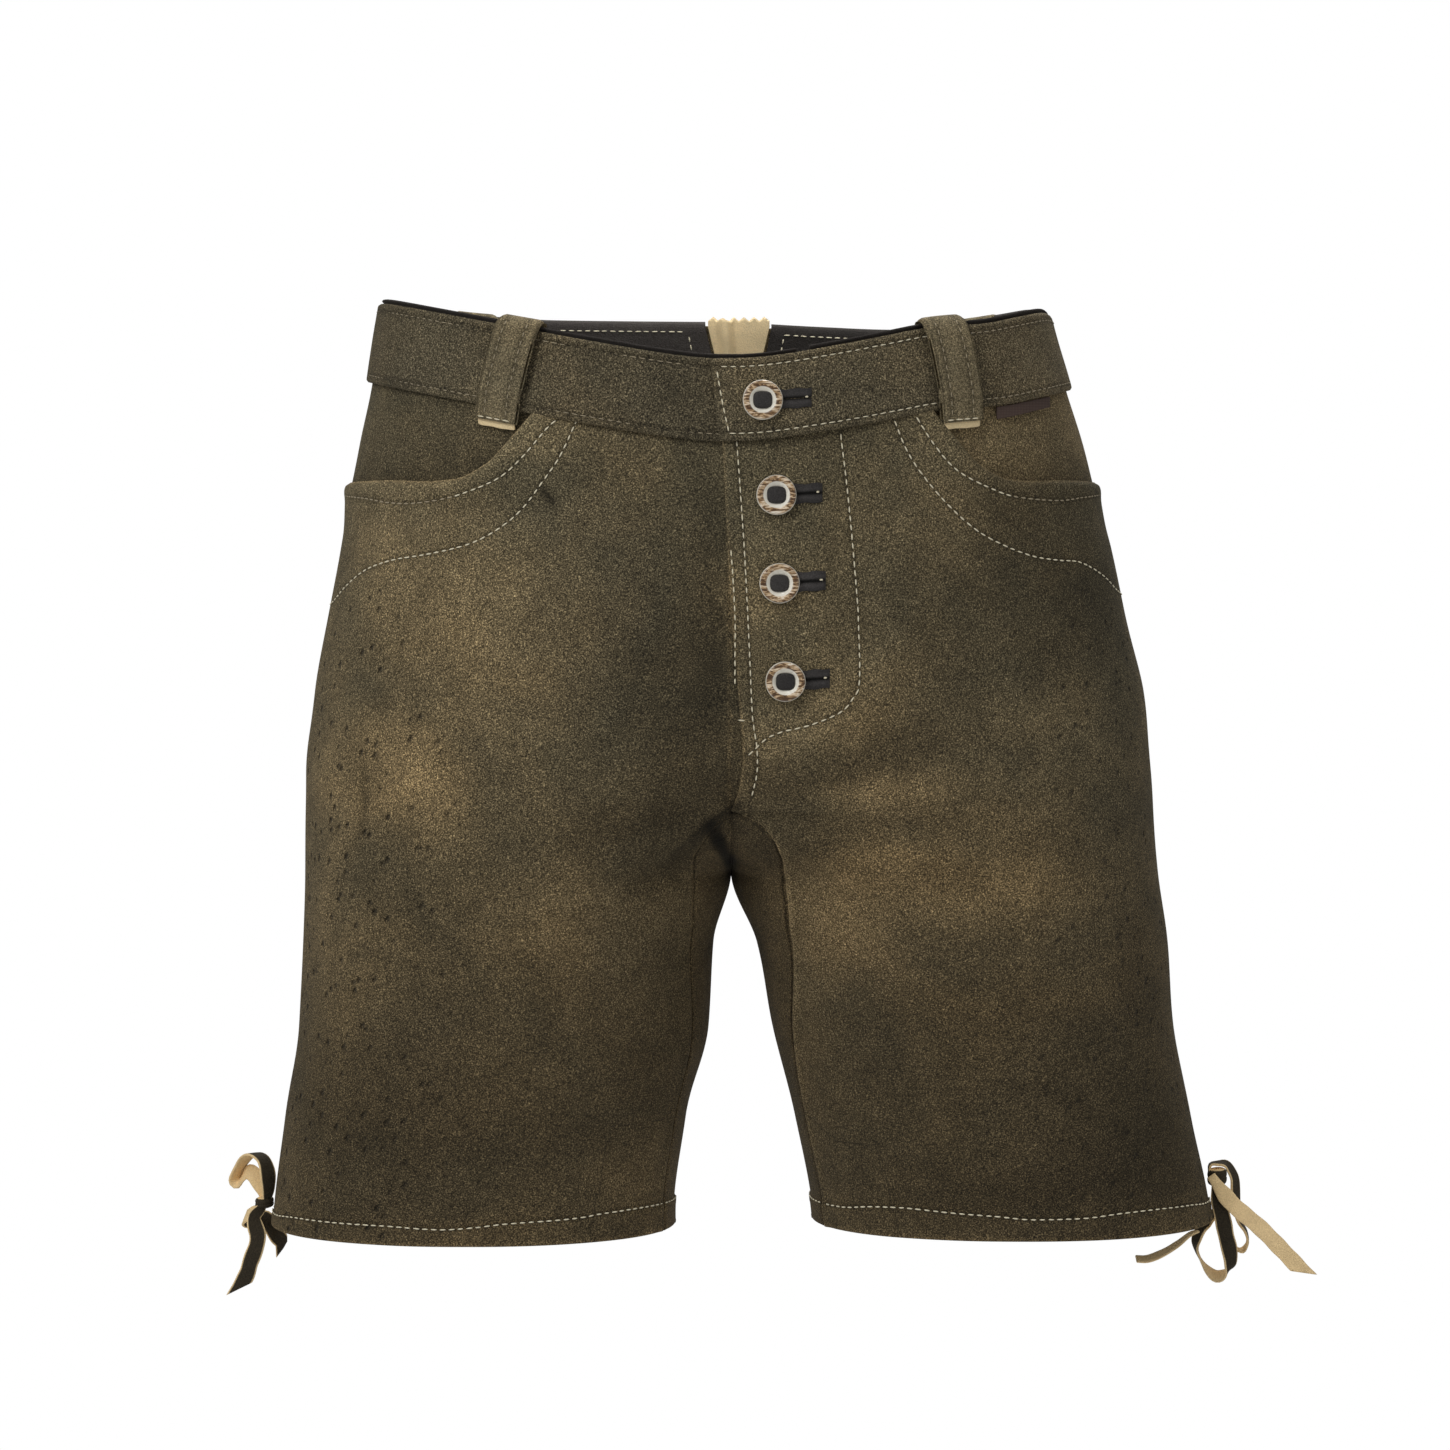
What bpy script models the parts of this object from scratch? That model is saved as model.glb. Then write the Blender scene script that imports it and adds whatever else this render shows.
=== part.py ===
"""Short suede trousers: buttoned fly, curved pockets, waistband with belt loops, and a thong tied at
the outer side of each hem. The cloth keeps the hollow form that it has when it is worn.

Metres, +Z up. The front looks towards -Y. "left" and "right" are as seen from the front, -X and +X.
The origin is in the middle of the waist. Tables and sizes below are in millimetres and degrees."""

import math

import bpy
from mathutils import Matrix, Vector

MM = 0.001
LEFT, RIGHT = -1, 1
HALVES = (("left", LEFT), ("right", RIGHT))

# Thickness of the leathers, and how far apart they lie.
SUEDE = 2.0
LINING_LEATHER = 1.2
POCKET_LEATHER = 1.6
LIES_OFF = 0.3
SEAM_SIDE = 0.15

# The outline of the body at each height: half widths of the two halves from x = 0, how far each leg
# stands from x = 0, and the half depths in front and behind.
BODY = (
    # height, left, right, left_gap, right_gap, front, back
    (50, 165, 148, 0, 0, 95, 97),
    (30, 168, 152.5, 0, 0, 97, 100),
    (5, 172, 160, 0, 0, 99, 105),
    (-20, 177.5, 168, 0, 0, 101.5, 110),
    (-45, 182.5, 174.5, 0, 0, 104, 114.5),
    (-70, 187, 182, 0, 0, 106.5, 118),
    (-100, 192.5, 188.5, 0, 0, 108, 121),
    (-140, 199.5, 198.2, 0, 0, 107.5, 121.5),
    (-180, 204.2, 202, 0, 0, 103, 116),
    (-232, 205, 206.3, 0, 0, 95, 101),
    (-260, 206, 210, 9, 11.5, 90, 93),
    (-300, 208.5, 213.5, 11, 20, 83.5, 85),
    (-345, 215.4, 222.4, 22, 31, 76.5, 77),
    (-393, 221.4, 232, 27.5, 40, 71, 71),
    (-410, 222.4, 233.5, 27.5, 41, 70, 70),
)
# How far the torso has divided into two legs: 0 where it is one oval, 1 at the bottom of the fork.
FORK = ((50, 0), (-100, 0), (-120, 0.03), (-140, 0.12), (-165, 0.33), (-190, 0.6), (-210, 0.82),
        (-225, 0.95), (-232, 1), (-410, 1))
ROUNDNESS = 2.2
# The inseam's place in front of the leg's innermost line, in degrees round the leg.
INSEAM = (
    # height, left, right
    (-190, 55, 55),
    (-200, 52, 52),
    (-212, 48, 49),
    (-226, 40, 43),
    (-240, 32, 35),
    (-270, 26.5, 30),
    (-300, 24, 25),
    (-345, 20, 20),
    (-410, 19.5, 20),
)
FRONT_FORK = -190
FORK_BOTTOM = -232
HEM = {LEFT: -397, RIGHT: -394.5}
HEM_FOLD = 11
HEM_PROUD = 0.9
SLIT_TOP = -362
SLIT_HEIGHT = 32
SLIT_SIDE = 1.7

# Soft folds that pull from the fork, with similar ones under the seat. Negative heights are troughs.
FOLDS = (
    # face, x0, z0, x1, z1, width, height
    ("front", 14, -172, 90, -156, 12, -2.8),
    ("front", 27, -186, 122, -180, 11, 1.6),
    ("front", 18, -200, 124, -196, 12, -2.8),
    ("front", 34, -222, 96, -206, 11, 2.0),
    ("front", 44, -238, 92, -226, 11, -1.6),
    ("front", -8, -189, -78, -201, 11, -2.4),
    ("front", -10, -194, -46, -222, 9, -2.4),
    ("front", -52, -178, -120, -150, 18, 1.5),
    ("back", 14, -186, 112, -172, 13, -2.6),
    ("back", 22, -204, 104, -200, 12, 1.8),
    ("back", 20, -218, 92, -222, 12, -2.2),
    ("back", -12, -184, -104, -168, 13, -2.4),
    ("back", -24, -206, -110, -204, 12, 1.8),
    ("back", -18, -222, -86, -232, 12, -2.2),
)

# The waistband, its facing and the gap in its back.
BAND_HEIGHT = 38
BAND_INNER, BAND_OUTER = -0.1, 2.9
FACING_PROUD = 2.2
FACING_OUTER = -0.9
BACK_GAP_TOP, BACK_GAP_BAND, BACK_GAP_PANEL = 15.5, 6.2, 5.6
BACK_GAP_X = 4
# The band's lower edge behind, by degrees from the side.
BACK_FOOT = (
    # angle, left, right
    (0, 8.2, 8.2),
    (15, 7.4, 6.8),
    (30, 4.8, 3),
    (45, 1.2, -2),
    (60, -0.8, -5.5),
    (75, -1.2, -4),
    (90, -1.5, -1.5),
)
GUSSET_TIP = -60
GUSSET_PROUD = 5

# The fly: the right front lies over the button stand that is grown on to the left front.
FLY_EDGE = ((-20, -4.1), (-46, -2.8), (-92, -0.5), (-135, 3.2), (-165, 5.5), (-178, 4), (-190, 0.15))
FLY_LIFT = 2.35
BAND_LIFT = 3.3
STAND_WIDTH = 30
STAND_BOTTOM = -178
FLY_FADE = 22
BAND_FLY_TOP, BAND_FLY_BOTTOM = -9.6, -5.3

# The pocket edge: degrees from the side seam towards the front, and height.
POCKET_EDGE = ((0, -40), (10, -39.2), (20, -38.3), (31, -37.6), (40, -37.8), (47, -36.5), (53, -29.5),
               (57, -18), (61, -4), (65, 12))
POCKET_TURN = {LEFT: 0, RIGHT: -3.5}
POCKET_LIFT = 2.35
POCKET_FADE = 26
POCKET_HIDDEN = 13

FRONT_COLUMNS = (0, 0.1, 0.2, 0.31, 0.42, 0.5, 0.56, 0.61, 0.65, 0.7, 0.76, 0.83, 0.9, 0.955, 1)
BACK_COLUMNS = (0, 0.05, 0.12, 0.2, 0.29, 0.38, 0.47, 0.56, 0.65, 0.74, 0.83, 0.92, 1)
INNER_COLUMNS = (0, 0.35, 0.7, 1)
LEVELS = (-82, -100, -120, -138, -150, -160, -169, -178, -190, -200, -210, -221, -232, -243, -256, -272,
          -290, -310, -330, -348, -362, -372)

# Buttons: place on the front, and how far right of it its buttonhole ends.
BUTTONS = (
    # x, z, hole_end
    (14, -0.8, 36),
    (20.4, -43.8, 41.5),
    (21.8, -83.8, 43),
    (24.6, -128.5, 45),
)
BUTTON_RADIUS = 9.3
BUTTON_EYE = 5.5
BUTTONHOLE_HEIGHT = 9

# Belt loops: x at their top and foot, and the face that they are on.
LOOPS = (
    ("loop_front_left", "front", -97.3, -107.5),
    ("loop_front_right", "front", 96.5, 106.5),
    ("loop_back_left", "back", -126, -131),
    ("loop_back_right", "back", 121, 127),
)
LOOP_WIDTH = 21
LOOP_LEATHER = 1.8


def smooth(t):
    t = min(max(t, 0.0), 1.0)
    return t * t * (3 - 2 * t)


def read(table, at, column=1):
    """A table's column at a height or angle, on a curve with no overshoot through its rows."""
    rows = sorted(table)
    if at <= rows[0][0]:
        return rows[0][column]
    if at >= rows[-1][0]:
        return rows[-1][column]
    i = max(k for k in range(len(rows) - 1) if rows[k][0] <= at)

    def slope(k):
        return (rows[k + 1][column] - rows[k][column]) / (rows[k + 1][0] - rows[k][0])

    def tangent(k):
        if k == 0 or k == len(rows) - 1:
            return slope(min(k, len(rows) - 2))
        before, after = slope(k - 1), slope(k)
        return 0.0 if before * after <= 0 else 2 * before * after / (before + after)

    span = rows[i + 1][0] - rows[i][0]
    t = (at - rows[i][0]) / span
    a, b = rows[i][column], rows[i + 1][column]
    return (
        a * (1 + 2 * t) * (1 - t) ** 2
        + b * t * t * (3 - 2 * t)
        + tangent(i) * span * t * (1 - t) ** 2
        - tangent(i + 1) * span * t * t * (1 - t)
    )


def section(half, z):
    """Centre, half width and the two half depths of one half's oval at a height."""
    width = read(BODY, z, 1 if half == LEFT else 2)
    gap = read(BODY, z, 3 if half == LEFT else 4) if z < FORK_BOTTOM else 0.0
    fork = read(FORK, z)
    if z < FORK_BOTTOM:
        centre, reach = (width + gap) / 2, (width - gap) / 2
    else:
        centre, reach = width * fork / (1 + fork), width / (1 + fork)
    return centre, reach, read(BODY, z, 5), read(BODY, z, 6)


def signed_power(value, power):
    return math.copysign(abs(value) ** power, value)


def skin(half, angle, z):
    """A point of the bare outline. The angle is 0 at the side, 90 at the front and -90 at the back.
    Past 90 it goes on round the leg, or, where the torso is one oval, over to the other half."""
    if abs(angle) > 90 and read(FORK, z) < 1e-6:
        half, angle = -half, math.copysign(180 - abs(angle), angle)
    centre, reach, front, back = section(half, z)
    turn = math.radians(angle)
    depth = front if angle > 0 else back
    x = centre + reach * signed_power(math.cos(turn), 2 / ROUNDNESS)
    y = -depth * signed_power(math.sin(turn), 2 / ROUNDNESS)
    return Vector((half * x, y, z))


def angle_of_x(half, x, z, face="front"):
    """The angle at which the half's outline has this x."""
    u = half * x
    if u < 0 and read(FORK, z) < 1e-6:
        reach = section(-half, z)[1]
        angle = 180 - math.degrees(math.acos(min(1.0, (-u / reach) ** (ROUNDNESS / 2))))
    else:
        centre, reach = section(half, z)[:2]
        share = max(-1.0, min(1.0, (u - centre) / reach))
        angle = math.degrees(math.acos(signed_power(share, ROUNDNESS / 2)))
    return angle if face == "front" else -angle


def side_angle(face, z):
    """Where the side seam's edge is: it opens into the slit above the hem."""
    away = SEAM_SIDE + (SLIT_SIDE - SEAM_SIDE) * smooth((SLIT_TOP - z) / SLIT_HEIGHT)
    depth = read(BODY, z, 5 if face == "front" else 6)
    angle = math.degrees(math.asin((away / depth) ** (ROUNDNESS / 2)))
    return angle if face == "front" else -angle


def relief(point):
    """How far the folds raise the outline at a point."""
    face = "front" if point.y < 0 else "back"
    total = 0.0
    for where, x0, z0, x1, z1, width, height in FOLDS:
        if where != face:
            continue
        along = Vector((x1 - x0, z1 - z0))
        to = Vector((point.x - x0, point.z - z0))
        t = to.dot(along) / along.length_squared
        off = (to - along * min(max(t, 0), 1)).length
        ends = smooth((t + 0.15) / 0.4) * smooth((1.15 - t) / 0.5)
        total += height * math.exp(-((off / width) ** 2)) * ends
    return total


def out_from(half, angle, z):
    """The outward direction of the bare outline."""
    step, rise = 0.6, 1.0
    around = skin(half, angle + step, z) - skin(half, angle - step, z)
    up = skin(half, angle, z + rise) - skin(half, angle, z - rise)
    normal = up.cross(around) if half == RIGHT else around.cross(up)
    return normal.normalized()


def place(half, angle, z, off=0.0):
    """A point at an angle and height, moved out from the outline."""
    base = skin(half, angle, z)
    return base + out_from(half, angle, z) * (off + relief(base))


def place_x(x, z, off=0.0, face="front"):
    """A point of the front or back at an x and height, moved out from the outline."""
    half = RIGHT if x >= 0 else LEFT
    return place(half, angle_of_x(half, x, z, face), z, off)


def band_foot(half, angle):
    """Height of the waistband's lower edge: it dips in front, and a little behind."""
    if angle < 0:
        return read(BACK_FOOT, -angle if angle >= -90 else 180 + angle, 1 if half == LEFT else 2)
    across = math.cos(math.radians(angle))
    return -24 + 32 * (across * across + 0.0144) ** 0.45


def pocket_height(half, angle):
    return read(POCKET_EDGE, angle * (1 - POCKET_TURN[half] / 60))


def pocket_distance(half, angle, z):
    """How far a point of the front lies from the pocket's edge."""
    here = skin(half, angle, z)
    best = 1e9
    for step in range(34):
        edge_angle = step * 2.0
        edge_z = pocket_height(half, edge_angle)
        if edge_z > 6:
            continue
        best = min(best, (skin(half, edge_angle, edge_z) - here).length)
    return best


def front_lift(half, angle, z):
    """How far the front is raised off the outline by the pocket's edge and by the fly."""
    lift = 0.0
    if z > -110 and angle < 84:
        lift = POCKET_LIFT * (1 - smooth(pocket_distance(half, angle, z) / POCKET_FADE))
    if half == RIGHT and z > FRONT_FORK + 1:
        x = skin(half, angle, z).x
        fly = FLY_LIFT * (1 - smooth((x - STAND_WIDTH - 4) / FLY_FADE))
        lift = max(lift, fly)
    return lift


# ---------------------------------------------------------------- mesh builders


def new_object(name, corners, faces, look):
    mesh = bpy.data.meshes.new(name)
    mesh.from_pydata([tuple(c * MM) for c in corners], [], faces)
    mesh.validate()
    mesh.materials.append(look)
    made = bpy.data.objects.new(name, mesh)
    bpy.context.scene.collection.objects.link(made)
    for polygon in mesh.polygons:
        polygon.use_smooth = True
    mesh.set_sharp_from_angle(angle=math.radians(40))
    return made


def wall(name, patches, look):
    """One closed wall from patches of (outer point, inner point) rows. Patches join where they share
    points, and every free edge is closed."""
    numbers, outer, inner, faces = {}, [], [], []

    def number(pair):
        key = tuple(round(value, 3) for value in pair[0])
        if key not in numbers:
            numbers[key] = len(outer)
            outer.append(pair[0])
            inner.append(pair[1])
        return numbers[key]

    for patch in patches:
        rows = [[number(pair) for pair in row] for row in patch]
        for upper, lower in zip(rows, rows[1:]):
            for a, b, c, d in zip(upper, upper[1:], lower[1:], lower):
                ring = [v for k, v in enumerate((a, b, c, d)) if v != (a, b, c, d)[k - 1]]
                if len(ring) > 2:
                    faces.append(ring)
    seen = {}
    for ring in faces:
        for a, b in zip(ring, ring[1:] + ring[:1]):
            seen[(a, b)] = True
    count = len(outer)
    shell = [tuple(ring) for ring in faces] + [tuple(v + count for v in reversed(ring)) for ring in faces]
    for a, b in seen:
        if (b, a) not in seen:
            shell.append((b, a, a + count, b + count))
    corners = outer + inner
    if volume(corners, shell) < 0:
        shell = [tuple(reversed(ring)) for ring in shell]
    return new_object(name, corners, shell, look)


def volume(corners, faces):
    total = 0.0
    for ring in faces:
        for b, c in zip(ring[1:], ring[2:]):
            total += corners[ring[0]].dot(corners[b].cross(corners[c]))
    return total


def swept(name, loops, look):
    """One closed solid through loops of as many points each, capped at both ends."""
    size = len(loops[0])
    corners = [point for loop in loops for point in loop]
    faces = []
    for k in range(len(loops) - 1):
        for i in range(size):
            j = (i + 1) % size
            faces.append((k * size + i, k * size + j, (k + 1) * size + j, (k + 1) * size + i))
    last = (len(loops) - 1) * size
    faces.append(tuple(reversed(range(size))))
    faces.append(tuple(last + i for i in range(size)))
    if volume(corners, faces) < 0:
        faces = [tuple(reversed(ring)) for ring in faces]
    return new_object(name, corners, faces, look)


def look_of(name, colour, roughness, metallic=0.0):
    made = bpy.data.materials.new(name)
    made.use_nodes = True
    shader = made.node_tree.nodes["Principled BSDF"]
    shader.inputs["Base Color"].default_value = (*colour, 1)
    shader.inputs["Roughness"].default_value = roughness
    shader.inputs["Metallic"].default_value = metallic
    made.diffuse_color = (*colour, 1)
    return made


# ---------------------------------------------------------------- panels


def pair(half, angle, z, lift, thick=SUEDE, proud=0.0):
    return place(half, angle, z, lift + proud), place(half, angle, z, lift - thick)


def inseam_angle(half, z, behind=False):
    """The inseam's angle, a little to the front's or the back's side of the seam."""
    seam = read(INSEAM, z, 1 if half == LEFT else 2)
    reach = section(half, z)[1]
    side = math.degrees(SEAM_SIDE / reach)
    return 180 - seam + (side if behind else -side)


def front_end(half, z):
    """The angle at which a front panel ends: the centre front, then the inseam."""
    if z < FRONT_FORK - 0.5:
        return inseam_angle(half, z)
    if half == LEFT:
        return angle_of_x(LEFT, -SEAM_SIDE, z)
    return angle_of_x(RIGHT, read(FLY_EDGE, z), z)


def hem_levels(half):
    hem = HEM[half]
    return hem + HEM_FOLD + 1, hem + HEM_FOLD, hem + 1.2, hem


def hem_proud(half, z):
    """The turned-up hem is thicker than the panel, with an eased lower edge."""
    if z > HEM[half] + HEM_FOLD + 0.5:
        return 0
    return HEM_PROUD - (0.5 if z == HEM[half] else 0)


def front_top(half, angle):
    """Height of a front panel's top edge, which follows the pocket and then the waistband."""
    top = band_foot(half, angle) - LIES_OFF
    if angle < 70:
        top = min(top, pocket_height(half, angle))
    return top


def front_rows(half):
    """Rows of (angle, height, lift, proud) for one front panel, from its top edge to its hem."""
    rows = []
    for drop, share in ((0, 0), (2.5, 0), (9, 0), (9, 0.22), (9, 0.46), (9, 0.72)):
        row = []
        for f in FRONT_COLUMNS:
            rough = f * front_end(half, -10)
            first = front_top(half, max(rough, side_angle("front", -40)))
            z = first - drop - share * (first - 9 - LEVELS[0])
            end = front_end(half, z)
            start = side_angle("front", z)
            angle = start + (end - start) * f
            in_pocket = angle < 62 + POCKET_TURN[half]
            lip = (-0.5 if drop == 0 else 0.35 if drop == 2.5 else 0) if in_pocket else 0
            row.append((angle, z, front_lift(half, angle, z), lip))
        rows.append(row)
    for z in LEVELS + hem_levels(half):
        end, start = front_end(half, z), side_angle("front", z)
        proud = hem_proud(half, z)
        row = []
        for f in FRONT_COLUMNS:
            angle = start + (end - start) * f
            row.append((angle, z, front_lift(half, angle, z), proud))
        rows.append(row)
    return rows


def front_panel(name, half, look):
    rows = front_rows(half)
    panel = [[pair(half, a, z, lift, proud=proud) for a, z, lift, proud in row] for row in rows]
    patches = [panel]
    if half == LEFT:
        stand = []
        for row, cells in zip(rows, panel):
            z = row[-1][1]
            if z < STAND_BOTTOM - 0.5:
                break
            width = STAND_WIDTH if z > -150 else STAND_WIDTH - 20 * smooth((-150 - z) / 28)
            more = [(place_x(width * s, z), place_x(width * s, z, -SUEDE)) for s in (0.3, 0.65, 1)]
            stand.append([cells[-1]] + more)
        patches.append(stand)
    return wall(name, patches, look)


def back_edge(half, z):
    """The x of a back panel's edge beside the gusset, and then beside the centre seam."""
    open_share = max(0.0, (z - GUSSET_TIP) / -GUSSET_TIP)
    return BACK_GAP_X * open_share + half * (SEAM_SIDE + (BACK_GAP_PANEL - SEAM_SIDE) * open_share)


def back_panel(name, half, look):
    """The back, from the centre seam round to the side, with the fork that runs on to the inseam."""

    def across(z, f):
        inner = angle_of_x(half, back_edge(half, z), z, "back")
        if z < FORK_BOTTOM - 0.5:
            inner = -180.0
        return inner + (side_angle("back", z) - inner) * f

    def cell(angle, z):
        return pair(half, angle, z, 0, proud=hem_proud(half, z))

    upper = []
    for share in (0, 0.03, 0.2, 0.4, 0.6, 0.8):
        row = []
        for f in BACK_COLUMNS:
            top = band_foot(half, across(-4, f)) - LIES_OFF
            z = top + share * (LEVELS[0] - top)
            row.append(cell(across(z, f), z))
        upper.append(row)
    levels = LEVELS + hem_levels(half)
    upper += [[cell(across(z, f), z) for f in BACK_COLUMNS] for z in levels if z >= FORK_BOTTOM]
    lower = [[cell(across(z, f), z) for f in BACK_COLUMNS] for z in levels if z <= FORK_BOTTOM]
    lower[0] = upper[-1]
    inner = []
    for z in levels:
        if z > FRONT_FORK - 0.5:
            continue
        start = inseam_angle(half, z, behind=True)
        end = angle_of_x(half, half * SEAM_SIDE, z) if z >= FORK_BOTTOM else 180.0
        inner.append([cell(start + (end - start) * f, z) for f in INNER_COLUMNS])
    below = [k for k, z in enumerate(z for z in levels if z < FRONT_FORK - 0.5) if z <= FORK_BOTTOM]
    for k, row in zip(below, lower):
        inner[k][-1] = row[0]
    tip = place(half, angle_of_x(half, half * SEAM_SIDE, FRONT_FORK - 1.5), FRONT_FORK - 1.5)
    tip_in = place(half, angle_of_x(half, half * SEAM_SIDE, FRONT_FORK - 1.5), FRONT_FORK - 1.5, -SUEDE)
    inner.insert(0, [(tip, tip_in)] * len(INNER_COLUMNS))
    return wall(name, [upper, lower, inner], look)


def pocket_insert(name, half, look):
    """The piece behind the pocket's edge. It sinks as it goes under the front."""
    rows = []
    last = 66.0 + POCKET_TURN[half]
    for share in (0, 0.2, 0.42, 0.62, 0.78, 0.9, 1):
        row = []
        for f in (0, 0.14, 0.3, 0.46, 0.6, 0.72, 0.82, 0.91, 1):
            angle = max(side_angle("front", -30), last * f)
            top = band_foot(half, angle) - LIES_OFF
            edge = pocket_height(half, max(0, angle - 6.5))
            foot = min(edge - POCKET_HIDDEN, top - 12)
            z = top + (foot - top) * share
            angle = max(side_angle("front", z), angle)
            under = z < pocket_height(half, angle)
            sink = 2.75 * smooth(pocket_distance(half, angle, z) / (POCKET_FADE - 3)) if under else 0
            row.append(pair(half, angle, z, -sink - 0.05, thick=POCKET_LEATHER))
        rows.append(row)
    return wall(name, [rows], look)


# ---------------------------------------------------------------- waistband


def band_stations(half, facing):
    """Ends of a waistband half, as x at its top and foot, and the angles between them."""
    if half == RIGHT:
        front_top_x, front_foot_x = (BAND_FLY_TOP, BAND_FLY_BOTTOM) if not facing else (36, 36)
    else:
        front_top_x = front_foot_x = 31 if not facing else 30
    spare = 1.5 if facing else 0
    back = (BACK_GAP_X + half * (BACK_GAP_TOP + spare), BACK_GAP_X + half * (BACK_GAP_BAND + spare))
    return front_top_x, front_foot_x, *back


def band_lift(half, x):
    return BAND_LIFT * (1 - smooth((x - STAND_WIDTH - 8) / FLY_FADE)) if half == RIGHT else 0.0


def around_band(half, facing, profile):
    """Loops of a profile of (off, height above the band's foot) carried round one half."""
    front_top_x, front_foot_x, back_top_x, back_foot_x = band_stations(half, facing)

    def loop(angle_at):
        made = []
        for off, height in profile:
            angle = angle_at(min(max(height / BAND_HEIGHT, 0), 1))
            z = band_foot(half, angle) + height
            lift = band_lift(half, skin(half, angle, z).x) if angle > 0 else 0.0
            made.append(place(half, angle, z, off + lift))
        return made

    def front_end_at(lean):
        return angle_of_x(half, front_foot_x + (front_top_x - front_foot_x) * lean, 15)

    def back_end_at(lean):
        return angle_of_x(half, back_foot_x + (back_top_x - back_foot_x) * lean, 15, "back")

    first = min(front_end_at(0), front_end_at(1)) - 1.5
    last = max(back_end_at(0), back_end_at(1)) + 1.5
    between = [angle for angle in BAND_ANGLES if last < angle < first]
    return [loop(front_end_at)] + [loop(lambda lean, a=angle: a) for angle in between] + [loop(back_end_at)]


BAND_ANGLES = (90, 84, 79.5, 77, 74.5, 72, 69, 66, 61, 55, 49, 43, 36, 29, 22, 15, 8, 0, -8, -15, -22, -30, -38,
               -46, -54, -62, -70, -77)
BAND_PROFILE = ((BAND_INNER, 0), (2.2, 0), (BAND_OUTER, 1.2), (BAND_OUTER, BAND_HEIGHT - 1.2),
                (2.2, BAND_HEIGHT), (BAND_INNER, BAND_HEIGHT))
FACING_PROFILE = ((FACING_OUTER, 0.5), (FACING_OUTER, BAND_HEIGHT + FACING_PROUD),
                  (FACING_OUTER - LINING_LEATHER, BAND_HEIGHT + FACING_PROUD),
                  (FACING_OUTER - LINING_LEATHER, 0.5))


def back_gusset(name, look):
    """The pleated piece that fills the gap in the back, with a pinked top edge."""
    columns = 12
    rows = []
    band = band_foot(LEFT, -90)
    top = band + BAND_HEIGHT
    for z in (GUSSET_TIP + 4, -40, -20, band - 1, band + 1, 12, 24, top, top + GUSSET_PROUD):
        if z < band:
            left, right = back_edge(LEFT, z), back_edge(RIGHT, z)
        else:
            half_gap = BACK_GAP_BAND + (BACK_GAP_TOP - BACK_GAP_BAND) * min(1, (z - band) / BAND_HEIGHT)
            half_gap = min(half_gap, BACK_GAP_PANEL) if z < band + 2 else half_gap
            left, right = BACK_GAP_X - half_gap, BACK_GAP_X + half_gap
        left, right = left + LIES_OFF, right - LIES_OFF
        row = []
        for k in range(columns + 1):
            f = k / columns
            x = left + (right - left) * f
            open_share = min(1, (right - left) / 28)
            pleat = -4.5 * open_share * (math.exp(-(((f - 0.27) / 0.09) ** 2)) + 0.35 * math.sin(math.pi * f))
            tooth = 1.6 * (k % 2) if z > top + 1 else 0
            row.append((place_x(x, z - tooth, pleat - 0.2, "back"), place_x(x, z - tooth, pleat - 1.5, "back")))
        rows.append(row)
    return wall(name, [rows], look)


# ---------------------------------------------------------------- trimmings


def strap(name, path, width, thick, face, look, columns=2):
    """A strap along a path of (x, height, off), as thick on both sides of it. It slopes as the band does."""

    def foot(x):
        half = RIGHT if x > 0 else LEFT
        return band_foot(half, angle_of_x(half, x, 0, face))

    rows = []
    for k, (x, z, off) in enumerate(path):
        before, after = path[max(k - 1, 0)], path[min(k + 1, len(path) - 1)]
        along = Vector((after[2] - before[2], after[1] - before[1])).normalized()
        out = Vector((-along.y, along.x)) * thick / 2
        row = []
        for c in range(columns + 1):
            here = x + width * (c / columns - 0.5)
            level = z + foot(here) - foot(x)
            row.append((place_x(here, level + out.y, off + out.x, face),
                        place_x(here, level - out.y, off - out.x, face)))
        rows.append(row)
    return wall(name, [rows], look)


def belt_loop(name, face, top_x, foot_x, look):
    """A loop that folds over the waistband's top and is sewn down below its foot."""
    half = RIGHT if top_x > 0 else LEFT
    foot = band_foot(half, angle_of_x(half, foot_x, 0, face))
    top = band_foot(half, angle_of_x(half, top_x, 30, face)) + BAND_HEIGHT
    route = (
        # height, off
        (top - 7, -4.2), (top + 1.2, -4.2), (top + 4, -2.6), (top + 4.3, 0.9), (top + 2.6, 4.4),
        (top - 2, 7), (top - 10, 8.1), (top - 20, 8.2), (foot + 7, 7.6), (foot + 1.5, 5.9),
        (foot - 3, 4.4), (foot - 7.5, 3.6),
    )
    path = [(top_x + (foot_x - top_x) * (top - z) / (top - foot), z, off) for z, off in route]
    return strap(name, path, LOOP_WIDTH, LOOP_LEATHER, face, look)


def side_tag(name, look):
    """A short plain tag sewn in under the waistband's foot."""
    columns = 6
    rows = []
    for drop in (0.6, 5, 8.6):
        row = []
        for k in range(columns + 1):
            x = 121.5 + 26 * k / columns
            z = band_foot(RIGHT, angle_of_x(RIGHT, x, 0)) - drop
            row.append((place_x(x, z, 1.1), place_x(x, z, 0.45)))
        rows.append(row)
    return wall(name, [rows], look)


def front_off(x, z):
    """How far the fly's outer face lies off the outline, on the band and below it."""
    if z > band_foot(RIGHT, 88):
        return BAND_OUTER + band_lift(RIGHT, x)
    return front_lift(RIGHT, angle_of_x(RIGHT, x, z), z)


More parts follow.
